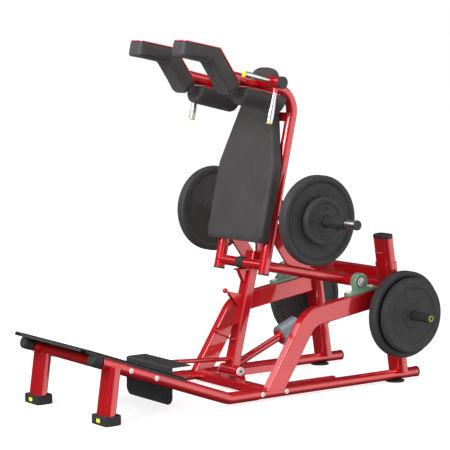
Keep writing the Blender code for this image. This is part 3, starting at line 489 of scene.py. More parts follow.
def bent_path(corners, radius, steps=18):
    points = [corners[0]]
    for before, corner, after in zip(corners, corners[1:], corners[2:]):
        points += arc_points(before, corner, after, radius, steps)
    return points + [corners[-1]]


def softened(profile, radius, steps=4):
    """A turned profile with each of its inner corners rounded off."""
    return bent_path(flat(profile), radius, steps)


def rounded_outline(corners, radii, steps=8):
    """A closed flat outline with each corner rounded to its own radius, or all to one."""
    corners = flat(corners)
    radii = radii if isinstance(radii, list) else [radii] * len(corners)
    outline = []
    for index, (corner, radius) in enumerate(zip(corners, radii)):
        outline += arc_points(corners[index - 1], corner, corners[(index + 1) % len(corners)], radius, steps)
    return outline


def box_corners(width, height):
    x, y = width / 2, height / 2
    return [(-x, -y), (x, -y), (x, y), (-x, y)]


def rounded_box(width, height, radius, steps=6):
    return rounded_outline(box_corners(width, height), radius, steps)


def stadium(length, width):
    """The outline of a flat-oval tube, long across the drawing."""
    half = (length - width) / 2
    return arc((half, 0), width / 2, -90, 180, 16) + arc((-half, 0), width / 2, 90, 180, 16)


def band(path, depth, start_z=None):
    """The outline of a flat bar that follows the path; its first end can be cut level at start_z."""
    upper, lower = [], []
    for index, point in enumerate(path):
        heading = (path[min(index + 1, len(path) - 1)] - path[max(index - 1, 0)]).normalized()
        square = Vector((-heading.y, heading.x)) * depth / 2
        for side, edge in ((upper, point + square), (lower, point - square)):
            if index == 0 and start_z is not None:
                edge = edge + heading * (start_z - edge.y) / heading.y
            side.append(edge)
    return lower + upper[::-1]


# Solids


def curve_solid(name, curve):
    """A mesh object in place of a curve."""
    holder = link(bpy.data.objects.new(name + "_curve", curve))
    bpy.context.view_layer.update()
    graph = bpy.context.evaluated_depsgraph_get()
    mesh = bpy.data.meshes.new_from_object(holder.evaluated_get(graph))
    bpy.data.objects.remove(holder)
    bpy.data.curves.remove(curve)
    return solid(name, mesh)


def drawn_curve(name, dimensions, points, cyclic, bevel, rounds):
    curve = bpy.data.curves.new(name, "CURVE")
    curve.dimensions = dimensions
    curve.bevel_depth = bevel
    curve.bevel_resolution = rounds
    spline = curve.splines.new("POLY")
    spline.points.add(len(points) - 1)
    for target, point in zip(spline.points, points):
        target.co = (*point.to_3d(), 1.0)
    spline.use_cyclic_u = cyclic
    return curve


def slab(name, outline, depth, view=FLAT_VIEW, centre=Vector(), edge=0.001, rounds=3):
    """A flat outline given a depth, with its edges rounded over."""
    curve = drawn_curve(name, "2D", outline, True, edge, rounds)
    curve.fill_mode = "BOTH"
    curve.extrude = depth / 2 - edge
    curve.offset = -edge
    obj = curve_solid(name, curve)
    obj.data.transform(Matrix.Translation(centre) @ view.to_4x4())
    return obj


def section_bar(name, outline, start, end, edge=0.0006, lateral=LATERAL):
    """A bar of this section between two points; the section's x lies along the lateral direction."""
    heading = (end - start).normalized()
    up = heading.cross(lateral).normalized()
    view = Matrix((up.cross(heading), up, heading)).transposed()
    return slab(name, outline, (end - start).length, view, (start + end) / 2, edge)


def tube(name, points, radius, sides=14, cyclic=False):
    """A round tube along the points."""
    curve = drawn_curve(name, "3D", points, cyclic, radius, sides)
    curve.use_fill_caps = not cyclic
    return curve_solid(name, curve)


def lathe(name, profile, start, heading, steps=64):
    """A solid turned about the heading: the profile's points are (along, radius)."""
    mesh = bpy.data.meshes.new(name)
    with editing(mesh) as work:
        ring = [work.verts.new((point[1], 0, point[0])) for point in profile]
        for first, second in zip(ring, ring[1:]):
            work.edges.new((first, second))
        spun = list(work.verts) + list(work.edges)
        full = 2 * math.pi
        bmesh.ops.spin(work, geom=spun, axis=(0, 0, 1), angle=full, steps=steps, use_merge=True)
    turn = heading.to_track_quat("Z", "Y").to_matrix().to_4x4()
    mesh.transform(Matrix.Translation(start) @ turn)
    return solid(name, mesh)


def bar(name, start, end, radius, edge=0.0015):
    """A round bar with softened ends."""
    length = (end - start).length
    profile = softened([(0, 0), (0, radius), (length, radius), (length, 0)], edge)
    return lathe(name, profile, start, end - start, 56)


def cross_bar(name, start_x, end_x, centre, radius, edge=0.0015):
    start, end = Vector((start_x, *centre.yz)), Vector((end_x, *centre.yz))
    return bar(name, start, end, radius, edge)


def turned_ring(name, profile, edge, start, heading):
    """A turned solid whose profile is closed back to its first point."""
    return lathe(name, softened(profile + profile[:1], edge, 2), start, heading)


def bolt(name, place, heading, radius=0.009):
    """A button-head screw with a socket, on a washer."""
    washer = 0.0018
    head = washer + 0.62 * radius
    profile = [(0, 0), (0, 1.4 * radius), (washer, 1.4 * radius), (washer, radius)]
    profile += [(washer + 0.3 * radius, radius), (head, 0.62 * radius), (head, 0.42 * radius)]
    profile += [(head - 0.4 * radius, 0.4 * radius), (head - 0.4 * radius, 0)]
    return piece(lathe(name, softened(profile, 0.0006, 2), place, heading, 32), "frame", ZINC)


def bolts(name, places, heading, radius=0.009):
    for index, place in enumerate(places):
        bolt(f"{name}_{index}", place, heading, radius)


def frustum(work, rings):
    """A closed four-sided block between a base ring and a top ring of points."""
    base, top = [[work.verts.new(point) for point in ring] for ring in rings]
    work.faces.new(top)
    work.faces.new(base[::-1])
    for index in range(4):
        after = (index + 1) % 4
        work.faces.new((base[index], base[after], top[after], top[index]))


def add_tread(name, body, columns, rows, pitch, height, place):
    """Rows of raised lozenges, turned one way and the other by turns."""
    mesh = bpy.data.meshes.new(name)
    with editing(mesh) as work:
        for column in range(columns):
            for row in range(rows):
                centre = Vector(((column - (columns - 1) / 2) * pitch, (row - (rows - 1) / 2) * pitch, 0))
                add_lug(work, centre, 45 if (column + row) % 2 else -45, height)
    mesh.transform(place)
    piece(link(bpy.data.objects.new(name, mesh)), body, TREAD)


def add_lug(work, centre, degrees, height):
    """One raised lozenge with sloping flanks, turned about its centre."""
    long, wide = LUG_SIZE
    turn = Matrix.Rotation(math.radians(degrees), 3, "Z")
    rings = []
    for share, level in ((1.0, -0.0004), (0.62, height)):
        corners = ((long, 0), (0, wide), (-long, 0), (0, -wide))
        rings.append([turn @ Vector((a * share, b * share, level)) + centre for a, b in corners])
    frustum(work, rings)


# Base


@both_sides
def add_rails(side):
    depth, radius = RAIL_CAP
    front = Vector((side.rail, RAIL_FRONT_Y, RAIL_Z))
    rear = Vector((side.rail, RAIL_REAR_Y - depth, RAIL_Z))
    piece(bar(f"rail_tube_{side}", front, rear, RAIL_RADIUS, 0.001), "frame", RED, f"rail_{side}")
    profile = softened([(-0.003, 0), (-0.003, radius), (depth, radius), (depth, 0)], 0.002)
    piece(lathe(f"rail_end_cap_{side}", profile, rear, BACKWARD), "frame", BLACK)
    surface = side.out * (RAIL_RADIUS - BOLT_SINK)
    places = [Vector((side.rail, y, RAIL_Z)) + surface for y in RAIL_BOLTS_Y]
    bolts(f"rail_bolt_{side}", places, side.out)


@both_sides
def add_base_tubes(side):
    corners = [Vector((side.rail, RAIL_FRONT_Y, RAIL_Z)), side_point(side.rail, SLOPE_CORNER)]
    path = bent_path(corners + [slope_point(side.rail, SOCKET_RANGE[0] + 0.01)], BASE_BEND)
    piece(tube(f"base_bent_tube_{side}", path, BASE_TUBE_RADIUS), "frame", RED, f"base_tube_{side}")
    surface = side.out * (BASE_TUBE_RADIUS - BOLT_SINK)
    bolts(f"base_bolt_{side}", [slope_point(side.rail, d) + surface for d in BASE_BOLTS], side.out)


@both_sides
def add_front_legs(side):
    start, middle, end = (slope_point(side.rail, d) for d in (*SOCKET_RANGE, SLEEVE_END))
    piece(bar(f"leg_socket_{side}", start, middle, SOCKET_RADIUS), "frame", RED, f"front_leg_{side}")
    sleeve = bar(f"leg_socket_rubber_{side}", middle, end, SOCKET_RADIUS + 0.0002, 0.014)
    piece(sleeve, "frame", FOOT_RUBBER)
    ends = side_point(side.rail, LEG_BOTTOM), side_point(side.rail, LEG_TOP)
    piece(section_bar(f"leg_flat_oval_{side}", stadium(*LEG_SECTION), *ends), "frame", RED)
    add_shoe(side)


def add_shoe(side):
    """The rubber shoe of a front leg, with a yellow plug in its front face."""
    width, depth, height = SHOE_SIZE
    outline = rounded_outline(box_corners(width, depth), [0.012, 0.012, 0.035, 0.035])
    centre = Vector((side.rail, SHOE_Y, height / 2))
    shoe = slab(f"leg_shoe_{side}", outline, height, FLAT_VIEW, centre, 0.004)
    piece(shoe, "frame", FOOT_RUBBER, f"leg_foot_{side}")
    front = Vector((side.rail, SHOE_Y - depth / 2, height / 2))
    plug = slab(f"shoe_plug_{side}", rounded_box(0.03, 0.018, 0.003), 0.003, FRONT_VIEW, front)
    piece(plug, "frame", YELLOW)


def add_front_cross_tube():
    reach = RAIL_X - 0.02
    cross = cross_bar("front_cross_bar", -reach, reach, slope_point(0, FRONT_CROSS_DISTANCE), 0.027)
    piece(cross, "frame", RED, "front_cross_tube")


def add_footplate():
    """The inclined platform: a sheet with its edges folded down over the tubes, and a raised tread."""
    rear, front = FOOTPLATE_RANGE
    length, sheet = front - rear, FOOTPLATE_SHEET
    drop, fold = FOOTPLATE_FOLD
    centre = slope_point(0, (rear + front) / 2, FOOTPLATE_LIFT + sheet / 2)
    outline = rounded_box(FOOTPLATE_WIDTH, length, 0.006)
    plate = slab("footplate_sheet", outline, sheet, SLOPE_TURN, centre, 0.0012)
    piece(plate, "frame", TREAD, "footplate")
    for side in SIDES:
        offset = Vector((side.sign * (FOOTPLATE_WIDTH - fold) / 2, 0, (sheet - drop) / 2))
        outline = rounded_box(length - 0.002, drop - 0.001, 0.002)
        place = centre + SLOPE_TURN @ offset
        edge = slab(f"footplate_fold_{side}", outline, fold, SLOPE_TURN @ SIDE_VIEW, place)
        piece(edge, "frame", TREAD)
    place = centre + SLOPE_TURN @ Vector((0, (fold - length) / 2, (sheet - drop) / 2))
    outline = rounded_box(FOOTPLATE_LIP, drop - 0.001, 0.002)
    piece(slab("footplate_front_lip", outline, fold, SLOPE_TURN @ FRONT_VIEW, place), "frame", TREAD)
    columns, rows = int(FOOTPLATE_WIDTH / TREAD_PITCH) - 1, int(length / TREAD_PITCH) - 1
    top = Matrix.Translation(slope_point(0, (rear + front) / 2, FOOTPLATE_LIFT + sheet))
    add_tread("footplate_tread", "frame", columns, rows, TREAD_PITCH, 0.0012, top @ SLOPE_TURN.to_4x4())


def add_cross_member():
    depth, height = CROSS_MEMBER_SIZE
    reach = RAIL_X - 0.012
    ends = [Vector((x, CROSS_MEMBER_Y, RAIL_Z)) for x in (-reach, reach)]
    member = section_bar("cross_member_box", rounded_box(depth, height, 0.006), *ends, lateral=BACKWARD)
    piece(member, "frame", RED, "cross_member")
    front = CROSS_MEMBER_Y - depth / 2
    near, far = RAIL_X - 0.004, RAIL_X - 0.03 - CORNER_GUSSET
    corners = [(near, front - CORNER_GUSSET), (near, front + 0.01), (far, front + 0.01)]
    width, length, tall = INNER_BAR_SIZE
    for side in SIDES:
        turned = [(side.sign * x, y) for x, y in corners[::side.sign]]
        outline = rounded_outline(turned, 0.002, 2)
        level = Vector((0, 0, RAIL_Z + 0.004))
        piece(slab(f"corner_gusset_{side}", outline, 0.006, FLAT_VIEW, level), "frame", RED)
        start = Vector((side.sign * INNER_BAR_X, CROSS_MEMBER_Y, RAIL_Z))
        outline = rounded_box(width, tall, 0.004)
        inner = section_bar(f"inner_bar_{side}", outline, start, start + BACKWARD * length)
        piece(inner, "frame", RED)


@both_sides
def add_rear_feet(side):
    height, radius = REAR_FOOT
    start = Vector((side.rail, REAR_FOOT_Y, 0))
    foot = bar(f"rear_foot_pad_{side}", start, start + Vector((0, 0, height)), radius, 0.003)
    piece(foot, "frame", FOOT_RUBBER, f"rear_foot_{side}")


# Rear frame


@both_sides
def add_rear_uprights(side):
    length, width = UPRIGHT_SECTION
    levels = (UPRIGHT_BOTTOM[1], UPRIGHT_TOP[1] - UPRIGHT_CAP, UPRIGHT_TOP[1], *CUFF_RANGE, CUFF_TAB_Z)
    bottom, ledge, top, low, high, tab = (upright_point(side.rail, z) for z in levels)
    upright = section_bar(f"upright_flat_oval_{side}", stadium(length, width), bottom, ledge)
    piece(upright, "frame", RED, f"rear_upright_{side}")
    cap = section_bar(f"upright_cap_{side}", stadium(length + 0.002, width + 0.002), ledge, top, 0.005)
    piece(cap, "frame", BLACK)
    cuff = section_bar(f"upright_cuff_{side}", stadium(length + 0.011, width + 0.011), low, high, 0.001)
    piece(cuff, "frame", RED)
    tab += Vector((0, width / 2 + 0.008, 0))
    piece(slab(f"cuff_tab_{side}", rounded_box(0.03, 0.036, 0.004), 0.02, SIDE_VIEW, tab), "frame", RED)
    bolt(f"cuff_bolt_{side}", tab + Vector((side.sign * 0.01, 0.006, 0)), side.out, 0.006)


def add_rear_beam():
    reach = RAIL_X - 0.04
    ends = [upright_point(x, BEAM_Z) for x in (-reach, reach)]
    beam = section_bar("rear_beam_box", rounded_box(*BEAM_SIZE, 0.008), *ends, lateral=BACKWARD)
    piece(beam, "frame", RED, "rear_beam")


@both_sides
def add_bearing_frames(side):
    path = bent_path(flat(BEARING_FRAME_PATH), BEARING_FRAME_BEND, 24)
    outline = band(path, BEARING_FRAME_DEPTH, 0.045)
    name, centre = f"bearing_frame_tube_{side}", side.out * RAIL_X
    body = slab(name, outline, BEARING_FRAME_THICKNESS, SIDE_VIEW, centre, 0.007, 4)
    piece(body, "frame", RED, f"bearing_frame_{side}")


def block_boss(height):
    """A pillow block's side above its foot: a straight neck and the round boss on it."""
    base = BLOCK_FOOT - 0.002 - height
    dip = math.degrees(math.acos(BLOCK_NECK / BLOCK_RADIUS))
    neck = flat([(-BLOCK_NECK, base), (BLOCK_NECK, base)])
    return neck + arc((0, 0), BLOCK_RADIUS, -dip, 180 + 2 * dip, 36)


@both_sides
def add_pillow_blocks(side):
    corner, end = flat(BEARING_FRAME_PATH[1:])
    slope = math.atan2(end.y - corner.y, end.x - corner.x)
    turn = Matrix.Rotation(slope, 3, "X")
    level, square = turn @ BACKWARD, turn @ Vector((0, 0, 1))
    height = (PIVOT - side_point(0, corner)).dot(square) - BEARING_FRAME_DEPTH / 2
    centre = PIVOT + side.out * (RAIL_X - 0.002)
    boss = slab(f"block_boss_{side}", block_boss(height), BOSS_WIDTH, turn @ SIDE_VIEW, centre, 0.003)
    piece(boss, "frame", GREEN, f"pillow_block_{side}")
    outline = rounded_box(BLOCK_WIDTH, 2 * BLOCK_HALF_LENGTH, 0.01)
    place = PIVOT + side.out * RAIL_X - square * (height - BLOCK_FOOT / 2)
    piece(slab(f"block_foot_{side}", outline, BLOCK_FOOT, turn, place, 0.003), "frame", GREEN)
    for label, face in (("outer", LATERAL), ("inner", -LATERAL)):
        add_bearing_face(f"{label}_{side}", centre + face * (BOSS_WIDTH / 2 - 0.0005), face)
    surface = place + square * (BLOCK_FOOT / 2 - 0.0005)
    places = [surface + level * reach for reach in (-BLOCK_BOLT_REACH, BLOCK_BOLT_REACH)]
    bolts(f"block_bolt_{side}", places, square, 0.0105)


def add_bearing_face(label, start, heading):
    """A housing's raised rim, the dark seal inside it and the bright race round the shaft."""
    rim = [(0, 0.028), (0, 0.0425), (0.0035, 0.041), (0.0035, 0.034), (-0.001, 0.028)]
    piece(lathe(f"block_rim_{label}", softened(rim, 0.0008, 2), start, heading), "frame", GREEN)
    race = [(0, 0.0178), (0, 0.0232), (0.004, 0.0232), (0.005, 0.0178)]
    piece(turned_ring(f"bearing_race_{label}", race, 0.0006, start, heading), "frame", ZINC)
    seal = [(0, 0.0234), (0.0016, 0.0234), (0.0016, 0.0282), (0, 0.0282)]
    piece(turned_ring(f"bearing_seal_{label}", seal, 0, start, heading), "frame", BLACK)


@both_sides
def add_storage_horns(side):
    start, end = STORAGE_HORN_RANGE
    centre = upright_point(0, STORAGE_Z)
    ends = side.sign * start, side.sign * end
    horn = cross_bar(f"storage_sleeve_{side}", *ends, centre, HORN_RADIUS, 0.003)
    piece(horn, "frame", BLACK, f"storage_horn_{side}")
    mark = [(0, 0.0112), (0, 0.0142), (0.001, 0.0142), (0.001, 0.0112)]
    face = centre + side.out * (end - 0.0004)
    piece(turned_ring(f"storage_ring_{side}", mark, 0.0004, face, side.out), "frame", YELLOW)


def add_prop_yoke():
    """The two ears, their base plate and the pin with its bright caps, each cap's recess filled with a black
    bar of painted shade.
    """
    base_z = RAIL_Z + CROSS_MEMBER_SIZE[1] / 2
    outline = rounded_box(2 * YOKE_EAR_X + 0.01, 0.06, 0.004)
    level = Vector((0, CROSS_MEMBER_Y, base_z + 0.003))
    piece(slab("yoke_base", outline, 0.006, FLAT_VIEW, level), "frame", RED, "prop_yoke")
    foot = flat([(CROSS_MEMBER_Y - 0.03, base_z), (CROSS_MEMBER_Y + 0.03, base_z)])
    outline = foot + arc(PROP_PIVOT.yz, 0.026, -10, 200, 20)
    rim, face, recess = (0.0095, 0.0222), 0.0115, (0.0068, 0.0066)
    profile = [(0, 0), (0, rim[1]), rim, (face, 0.02), (face, recess[0]), (rim[0], recess[1]), (rim[0], 0)]
    for side in SIDES:
        piece(slab(f"yoke_ear_{side}", outline, 0.01, SIDE_VIEW, side.out * YOKE_EAR_X), "frame", RED)
        start = PROP_PIVOT + side.out * (YOKE_EAR_X + 0.003)
        cap = lathe(f"pin_cap_{side}", softened(profile, 0.0015, 3), start, side.out)
        piece(cap, "frame", ZINC)
        # A black bar in each cap's recess is painted shade: it stands for the dark inside the socket hole.
        ends = start + side.out * 0.009, start + side.out * 0.0108
        piece(bar(f"pin_socket_painted_shade_{side}", *ends, 0.0062, 0.0004), "frame", BLACK)
    piece(cross_bar("prop_pin_bar", -YOKE_EAR_X, YOKE_EAR_X, PROP_PIVOT, 0.011), "frame", STEEL)


# Carriage


@both_sides
def add_side_tubes(side):
    corners = [carriage_point(side.arm, 0.004), carriage_point(side.arm, ARM_ALONG)]
    corners.append(carriage_point(side.arm, ARM_ALONG, TOP_BAR[1]))
    bent = tube(f"side_bent_tube_{side}", bent_path(corners, SIDE_BEND), SIDE_TUBE_RADIUS)
    piece(bent, "carriage", RED, f"side_tube_{side}")
    ends = carriage_point(side.arm, -0.003), carriage_point(side.arm, 0.006)
    piece(bar(f"side_tube_cap_{side}", *ends, 0.0288, 0.002), "carriage", BLACK)


def add_top_bar():
    centre = carriage_point(0, *TOP_BAR)
    reach = TOP_BAR_END - 0.01
    crossbar = cross_bar("top_bar_tube", -reach, reach, centre, TOP_BAR_RADIUS)
    piece(crossbar, "carriage", RED, "top_crossbar")
    for side in SIDES:
        ends = side.sign * (reach - 0.002), side.sign * TOP_BAR_END
        cap = cross_bar(f"top_bar_cap_{side}", *ends, centre, TOP_BAR_RADIUS + 0.0006, 0.003)
        piece(cap, "carriage", BLACK)


@both_sides
def add_shoulder_arms(side):
    _, bend, tip = flat(SHOULDER_LINE)
    start = carriage_point(side.arm, ARM_ALONG, TOP_BAR[1])
    forward = carriage_point(side.arm, ARM_ALONG, 1.0) - start
    steep = tip - bend
    square = Vector((0, steep.y, -steep.x))
    share = (side_point(side.arm, (bend + tip) / 2) - start).dot(square) / forward.dot(square)
    end = start + forward * share + forward.normalized() * 0.018
    arm = bar(f"shoulder_arm_tube_{side}", start, end, SIDE_TUBE_RADIUS)
    piece(arm, "carriage", RED, f"shoulder_arm_{side}")


def add_lower_bar():
    centre = carriage_point(0, LOWER_BAR_ALONG)
    crossbar = cross_bar("lower_bar_tube", -ARM_X, ARM_X, centre, LOWER_BAR_RADIUS)
    piece(crossbar, "carriage", RED, "lower_crossbar")
    reach, radius = BUMPER
    rubber = cross_bar("bumper_rubber", -reach, reach, centre, radius, 0.004)
    piece(rubber, "carriage", FOOT_RUBBER, "bumper_sleeve")


def add_lever_frame():
    reach, radius = LEVER_SLEEVE
    sleeve = cross_bar("pivot_sleeve", -reach, reach, PIVOT, radius)
    piece(sleeve, "carriage", RED, "lever_frame")
    for side in SIDES:
        start, end = carriage_point(side.arm, LOWER_BAR_ALONG), PIVOT + LATERAL * side.arm
        piece(bar(f"lever_arm_tube_{side}", start, end, LEVER_RADIUS), "carriage", RED)
    shaft = cross_bar("shaft_bar", -SHAFT_END, SHAFT_END, PIVOT, SHAFT_RADIUS, 0.002)
    piece(shaft, "carriage", STEEL, "pivot_shaft")
    width, outer = SHAFT_COLLAR
    inner = SHAFT_RADIUS + 0.0003
    for side in SIDES:
        profile = [(0, inner), (0, outer), (width, outer), (width, inner)]
        collar = turned_ring(f"shaft_collar_{side}", profile, 0.0015, PIVOT + side.out * reach, side.out)
        piece(collar, "carriage", ZINC)


@both_sides
def add_trusses(side):
    """Behind each side tube: a diagonal brace and a bent horn support on one foot plate."""
    centre = side.out * ARM_X
    support = band(bent_path(flat(SUPPORT_PATH), 0.08), 0.06)
    upper = slab(f"horn_support_{side}", support, 0.0156, SIDE_VIEW, centre, 0.0015)
    piece(upper, "carriage", RED, f"truss_{side}")
    brace = rounded_outline(BRACE_OUTLINE, 0.002, 2)
    piece(slab(f"truss_brace_{side}", brace, 0.016, SIDE_VIEW, centre, 0.0015), "carriage", RED)
    width, length, sheet = TRUSS_FOOT
    middle = carriage_point(side.arm, LOWER_BAR_ALONG + LEVER_RADIUS + sheet / 2, -0.225)
    turn = Matrix.Rotation(-CARRIAGE_TILT, 3, "X")
    foot = slab(f"truss_foot_{side}", rounded_box(width, length, 0.004), sheet, turn, middle)
    piece(foot, "carriage", RED)


def add_horn_bar():
    """The chrome bar through both horn supports, with plate stops and dark end discs."""
    centre = side_point(0, HORN)
    reach = HORN_END - 0.008
    half, radius = HORN_STOP
    horn = cross_bar("horn_chrome_bar", -reach, reach, centre, HORN_RADIUS - 0.0005)
    piece(horn, "carriage", CHROME, "horn_bar")
    for side in SIDES:
        ends = side.sign * (HORN_STOP_X - half), side.sign * (HORN_STOP_X + half)
        piece(cross_bar(f"horn_stop_{side}", *ends, centre, radius, 0.002), "carriage", CHROME)
        ends = side.sign * (reach - 0.001), side.sign * HORN_END
        piece(cross_bar(f"horn_end_disc_{side}", *ends, centre, HORN_RADIUS, 0.0025), "carriage", BLACK)


def add_handles():
    """On each end of the top bar a forward and a downward grip, each in a short red socket."""
    (socket, socket_radius), (cap, cap_radius) = GRIP_SOCKET, GRIP_CAP
    along, forward = TOP_BAR
    start = TOP_BAR_RADIUS - 0.003
    reaches = (start, start + socket, start + socket + GRIP_LENGTH, start + socket + GRIP_LENGTH + cap)
    shares = [step / 24 for step in range(25)]
    swell = [(GRIP_LENGTH * share, 0.0108 + 0.005 * math.sin(2.1 * share) ** 2) for share in shares]
    profile = [(0, 0)] + swell + [(GRIP_LENGTH, 0)]
    for side in SIDES:
        x = side.sign * GRIP_X
        for label, ahead, up in (("front", 1, 0), ("down", 0, -1)):
            places = [carriage_point(x, along + up * reach, forward + ahead * reach) for reach in reaches]
            sleeve = bar(f"{label}_grip_socket_{side}", *places[:2], socket_radius)
            piece(sleeve, "carriage", RED)
            grip = lathe(f"{label}_grip_{side}", profile, places[1], places[2] - places[1])
            piece(grip, "carriage", CHROME, f"{label}_handle_{side}")
            end = bar(f"{label}_grip_cap_{side}", *places[2:], cap_radius, 0.004)
            piece(end, "carriage", YELLOW)


# Prop


def add_prop():
    ends = prop_point(0, 0), prop_point(0, PROP_LENGTH)
    post = section_bar("prop_post", rounded_box(*PROP_SECTION, 0.007), *ends, 0.001)
    piece(post, "prop", RED, "prop_lever")
    reach, radius = PROP_HUB
    piece(cross_bar("prop_hub", -reach, reach, PROP_PIVOT, radius), "prop", RED)
    add_prop_shelf()
    add_prop_catch()
    add_pedal()
    add_counterweight()


def add_prop_shelf():
    """The shelf that carries the bumper, with its web."""
    width, depth, sheet = PROP_SHELF
    top = carriage_point(0, LOWER_BAR_ALONG).z - 0.0305
    rear = prop_point(0, (top - PROP_PIVOT.z) / math.cos(PROP_TILT), PROP_SECTION[1] / 2).y + 0.02
    centre = Vector((0, rear - depth / 2, top - sheet / 2))
    shelf = slab("prop_shelf", rounded_box(width, depth, 0.006), sheet, FLAT_VIEW, centre)
    piece(shelf, "prop", RED)
    corners = [(rear - 0.078, top - 0.006), (rear - 0.022, top - 0.118), (rear + 0.004, top - 0.006)]
    web = slab("prop_shelf_web", rounded_outline(corners, 0.004, 3), 0.03, SIDE_VIEW)
    piece(web, "prop", RED)


def add_prop_catch():
    """The trip wedge with its ball knob, and the bent strap below it."""
    outline = rounded_outline(PROP_WEDGE, 0.002, 3)
    piece(slab("prop_wedge", outline, 0.03, SIDE_VIEW, edge=0.0015), "prop", RED)
    strap = band(bent_path(flat(PROP_STRAP), 0.012, 10), 0.007)
    piece(slab("prop_strap", strap, 0.035, SIDE_VIEW), "prop", RED)
    tip, centre = side_point(0, KNOB_STEM), side_point(0, KNOB_CENTRE)
    length = (centre - tip).length
    stem = [(-0.004, 0), (-0.004, 0.0042), (length - 0.014, 0.0042)]
    ball = arc((length, 0), KNOB_RADIUS, 158, -158, 12)
    knob = lathe("catch_knob", stem + ball, tip, (centre - tip).normalized(), 40)
    piece(knob, "prop", KNOB, "release_knob")


def add_pedal():
    """A folded sheet: a broad front face with round lower corners, a top flange and a short rear lip."""
    width, depth, height = PEDAL_SIZE
    sheet, rear = PEDAL_SHEET, PEDAL_FRONT_Y + depth
    face, level = PEDAL_FRONT_Y + sheet / 2, PEDAL_TOP_Z - sheet / 2
    corners = flat([(face, PEDAL_TOP_Z - height + 0.001), (face, level), (rear - 0.001, level)])
    outline = band(bent_path(corners, 0.008, 6), sheet)
    pedal = slab("pedal_fold", outline, width, SIDE_VIEW, edge=0.0012)
    round_lower_corners(pedal.data, width / 2, PEDAL_TOP_Z - height, PEDAL_CORNER)
    piece(pedal, "prop", TREAD, "pedal_plate")
    place = Vector((0, rear - 0.003, PEDAL_TOP_Z - 0.022))
    lip = slab("pedal_lip", rounded_box(0.06, 0.036, 0.004), sheet, FRONT_VIEW, place)
    piece(lip, "prop", TREAD)
    start = Vector((0, rear, PEDAL_TOP_Z - 0.016))
    piece(bar("pedal_tube", start, prop_point(0, 0.055), 0.0115), "prop", RED)
    place = Matrix.Translation((0, PEDAL_FRONT_Y + depth / 2 + 0.003, PEDAL_TOP_Z - 0.0009))
    add_tread("pedal_tread", "prop", 15, 4, PEDAL_PITCH, 0.0009, place)


def round_lower_corners(mesh, half, bottom, radius):
    """Draws the lower corners of an upright sheet in to the radius."""
    steps = 10
    with editing(mesh) as work:
        for sign in (1, -1):
            centre = Vector((sign * (half - radius), 0, bottom + radius))
            for step in range(1, steps):
                angle = math.radians(90 * step / steps)
                normal = Vector((sign * math.cos(angle), 0, -math.sin(angle)))
                lower = [v for v in work.verts if v.co.z < bottom + radius + 0.001]
                near = {v for v in lower if v.co.x * sign > half - radius - 0.001}
                faces = {f for v in near for f in v.link_faces}
                edges = {e for f in faces for e in f.edges}
                geometry = list({v for f in faces for v in f.verts}) + list(edges) + list(faces)
                place = centre + normal * radius
                cut = bmesh.ops.bisect_plane(
                    work, geom=geometry, plane_co=place, plane_no=normal, clear_outer=True
                )
                rim = [e for e in cut["geom_cut"] if isinstance(e, bmesh.types.BMEdge)]
                bmesh.ops.holes_fill(work, edges=rim, sides=0)


def add_counterweight():
    start, end = (side_point(0, point) for point in COUNTER_ARM)
    heading = (end - start).normalized()
    piece(bar("counter_arm", start, end, 0.02), "prop", RED)
    piece(bar("counter_flange", end - heading * 0.01, end, 0.037, 0.002), "prop", RED)
    length, radius = COUNTERWEIGHT
    profile = [(0.0004, 0), (0.0004, radius), (length, radius), (length, 0.014)]
    profile += [(length - 0.004, 0.012), (length - 0.004, 0)]
    weight = lathe("counterweight_drum", softened(profile, 0.005), end, heading)
    piece(weight, "prop", SLATE, "counterweight")


# Weight plates


def plate_profile(radius, thickness, rim_round, rings):
    """A turned section from the bore round the outer face to the back."""
    half = thickness / 2
    front = [(half, BORE_RADIUS)] + [(half - recess, ring) for ring, recess in rings]
    rear = [(-along, ring) for along, ring in front[:0:-1]]
    rim = softened([front[-1], (half, radius), (-half, radius), rear[0]], rim_round, 8)[1:-1]
    profile = softened(front, 0.0022, 3) + rim + softened(rear, 0.0022, 3)
    return profile + [(-half, BORE_RADIUS), (half, BORE_RADIUS)]


def add_plate(name, node, size, centre, side, rim_round, rings, ribs=None):
    profile = plate_profile(*size, rim_round, rings)
    piece(lathe(name, profile, centre, side.out, 128), node, PLATE_RUBBER, node, angle=50)
    if ribs:
        add_ribs(f"{name}_ribs", node, centre, side.sign, size[1] / 2, ribs)


def add_ribs(name, body, centre, sign, half, ribs):
    """Two arcs of plain raised ribs on the outer face."""
    inner, outer, recess, count = ribs
    mesh = bpy.data.meshes.new(name)
    with editing(mesh) as work:
        for middle in (0.42 * math.pi, 1.42 * math.pi):
            for index in range(count):
                angle = middle + (index - (count - 1) / 2) * RIB_SPACING
                add_rib(work, angle, inner, outer, half - recess)
    mesh.transform(Matrix.Translation(centre) @ Matrix.Diagonal((sign, 1, 1, 1)))
    piece(solid(name, mesh), body, PLATE_RUBBER)


def add_rib(work, angle, inner, outer, level):
    """One rib along a radius, drawn in at the top."""
    turn = Matrix.Rotation(angle, 3, "X")
    rings = []
    for inset, height in ((0.0, level - 0.0006), (0.0012, level + 0.0022)):
        low, high, half = inner + inset, outer - inset, RIB_HALF_WIDTH - inset
        corners = ((low, -half), (high, -half), (high, half), (low, half))
        rings.append([turn @ Vector((height, along, across)) for along, across in corners])
    frustum(work, rings)


def add_stored_plates():
    inner = RAIL_X + UPRIGHT_SECTION[0] / 2 + 0.01
    outer = inner + BIG_PLATE[1] + PLATE_GAP
    for side in SIDES:
        centre = upright_point(side.sign * (inner + BIG_PLATE[1] / 2), STORAGE_Z)
        node = f"stored_big_plate_{side}"
        add_plate(f"rack_large_disc_{side}", node, BIG_PLATE, centre, side, 0.022, BIG_RINGS)
        centre = upright_point(side.sign * (outer + STORED_PLATE[1] / 2), STORAGE_Z)
        node = f"stored_plate_{side}"
        add_plate(f"rack_disc_{side}", node, STORED_PLATE, centre, side, 0.014, STORED_RINGS)


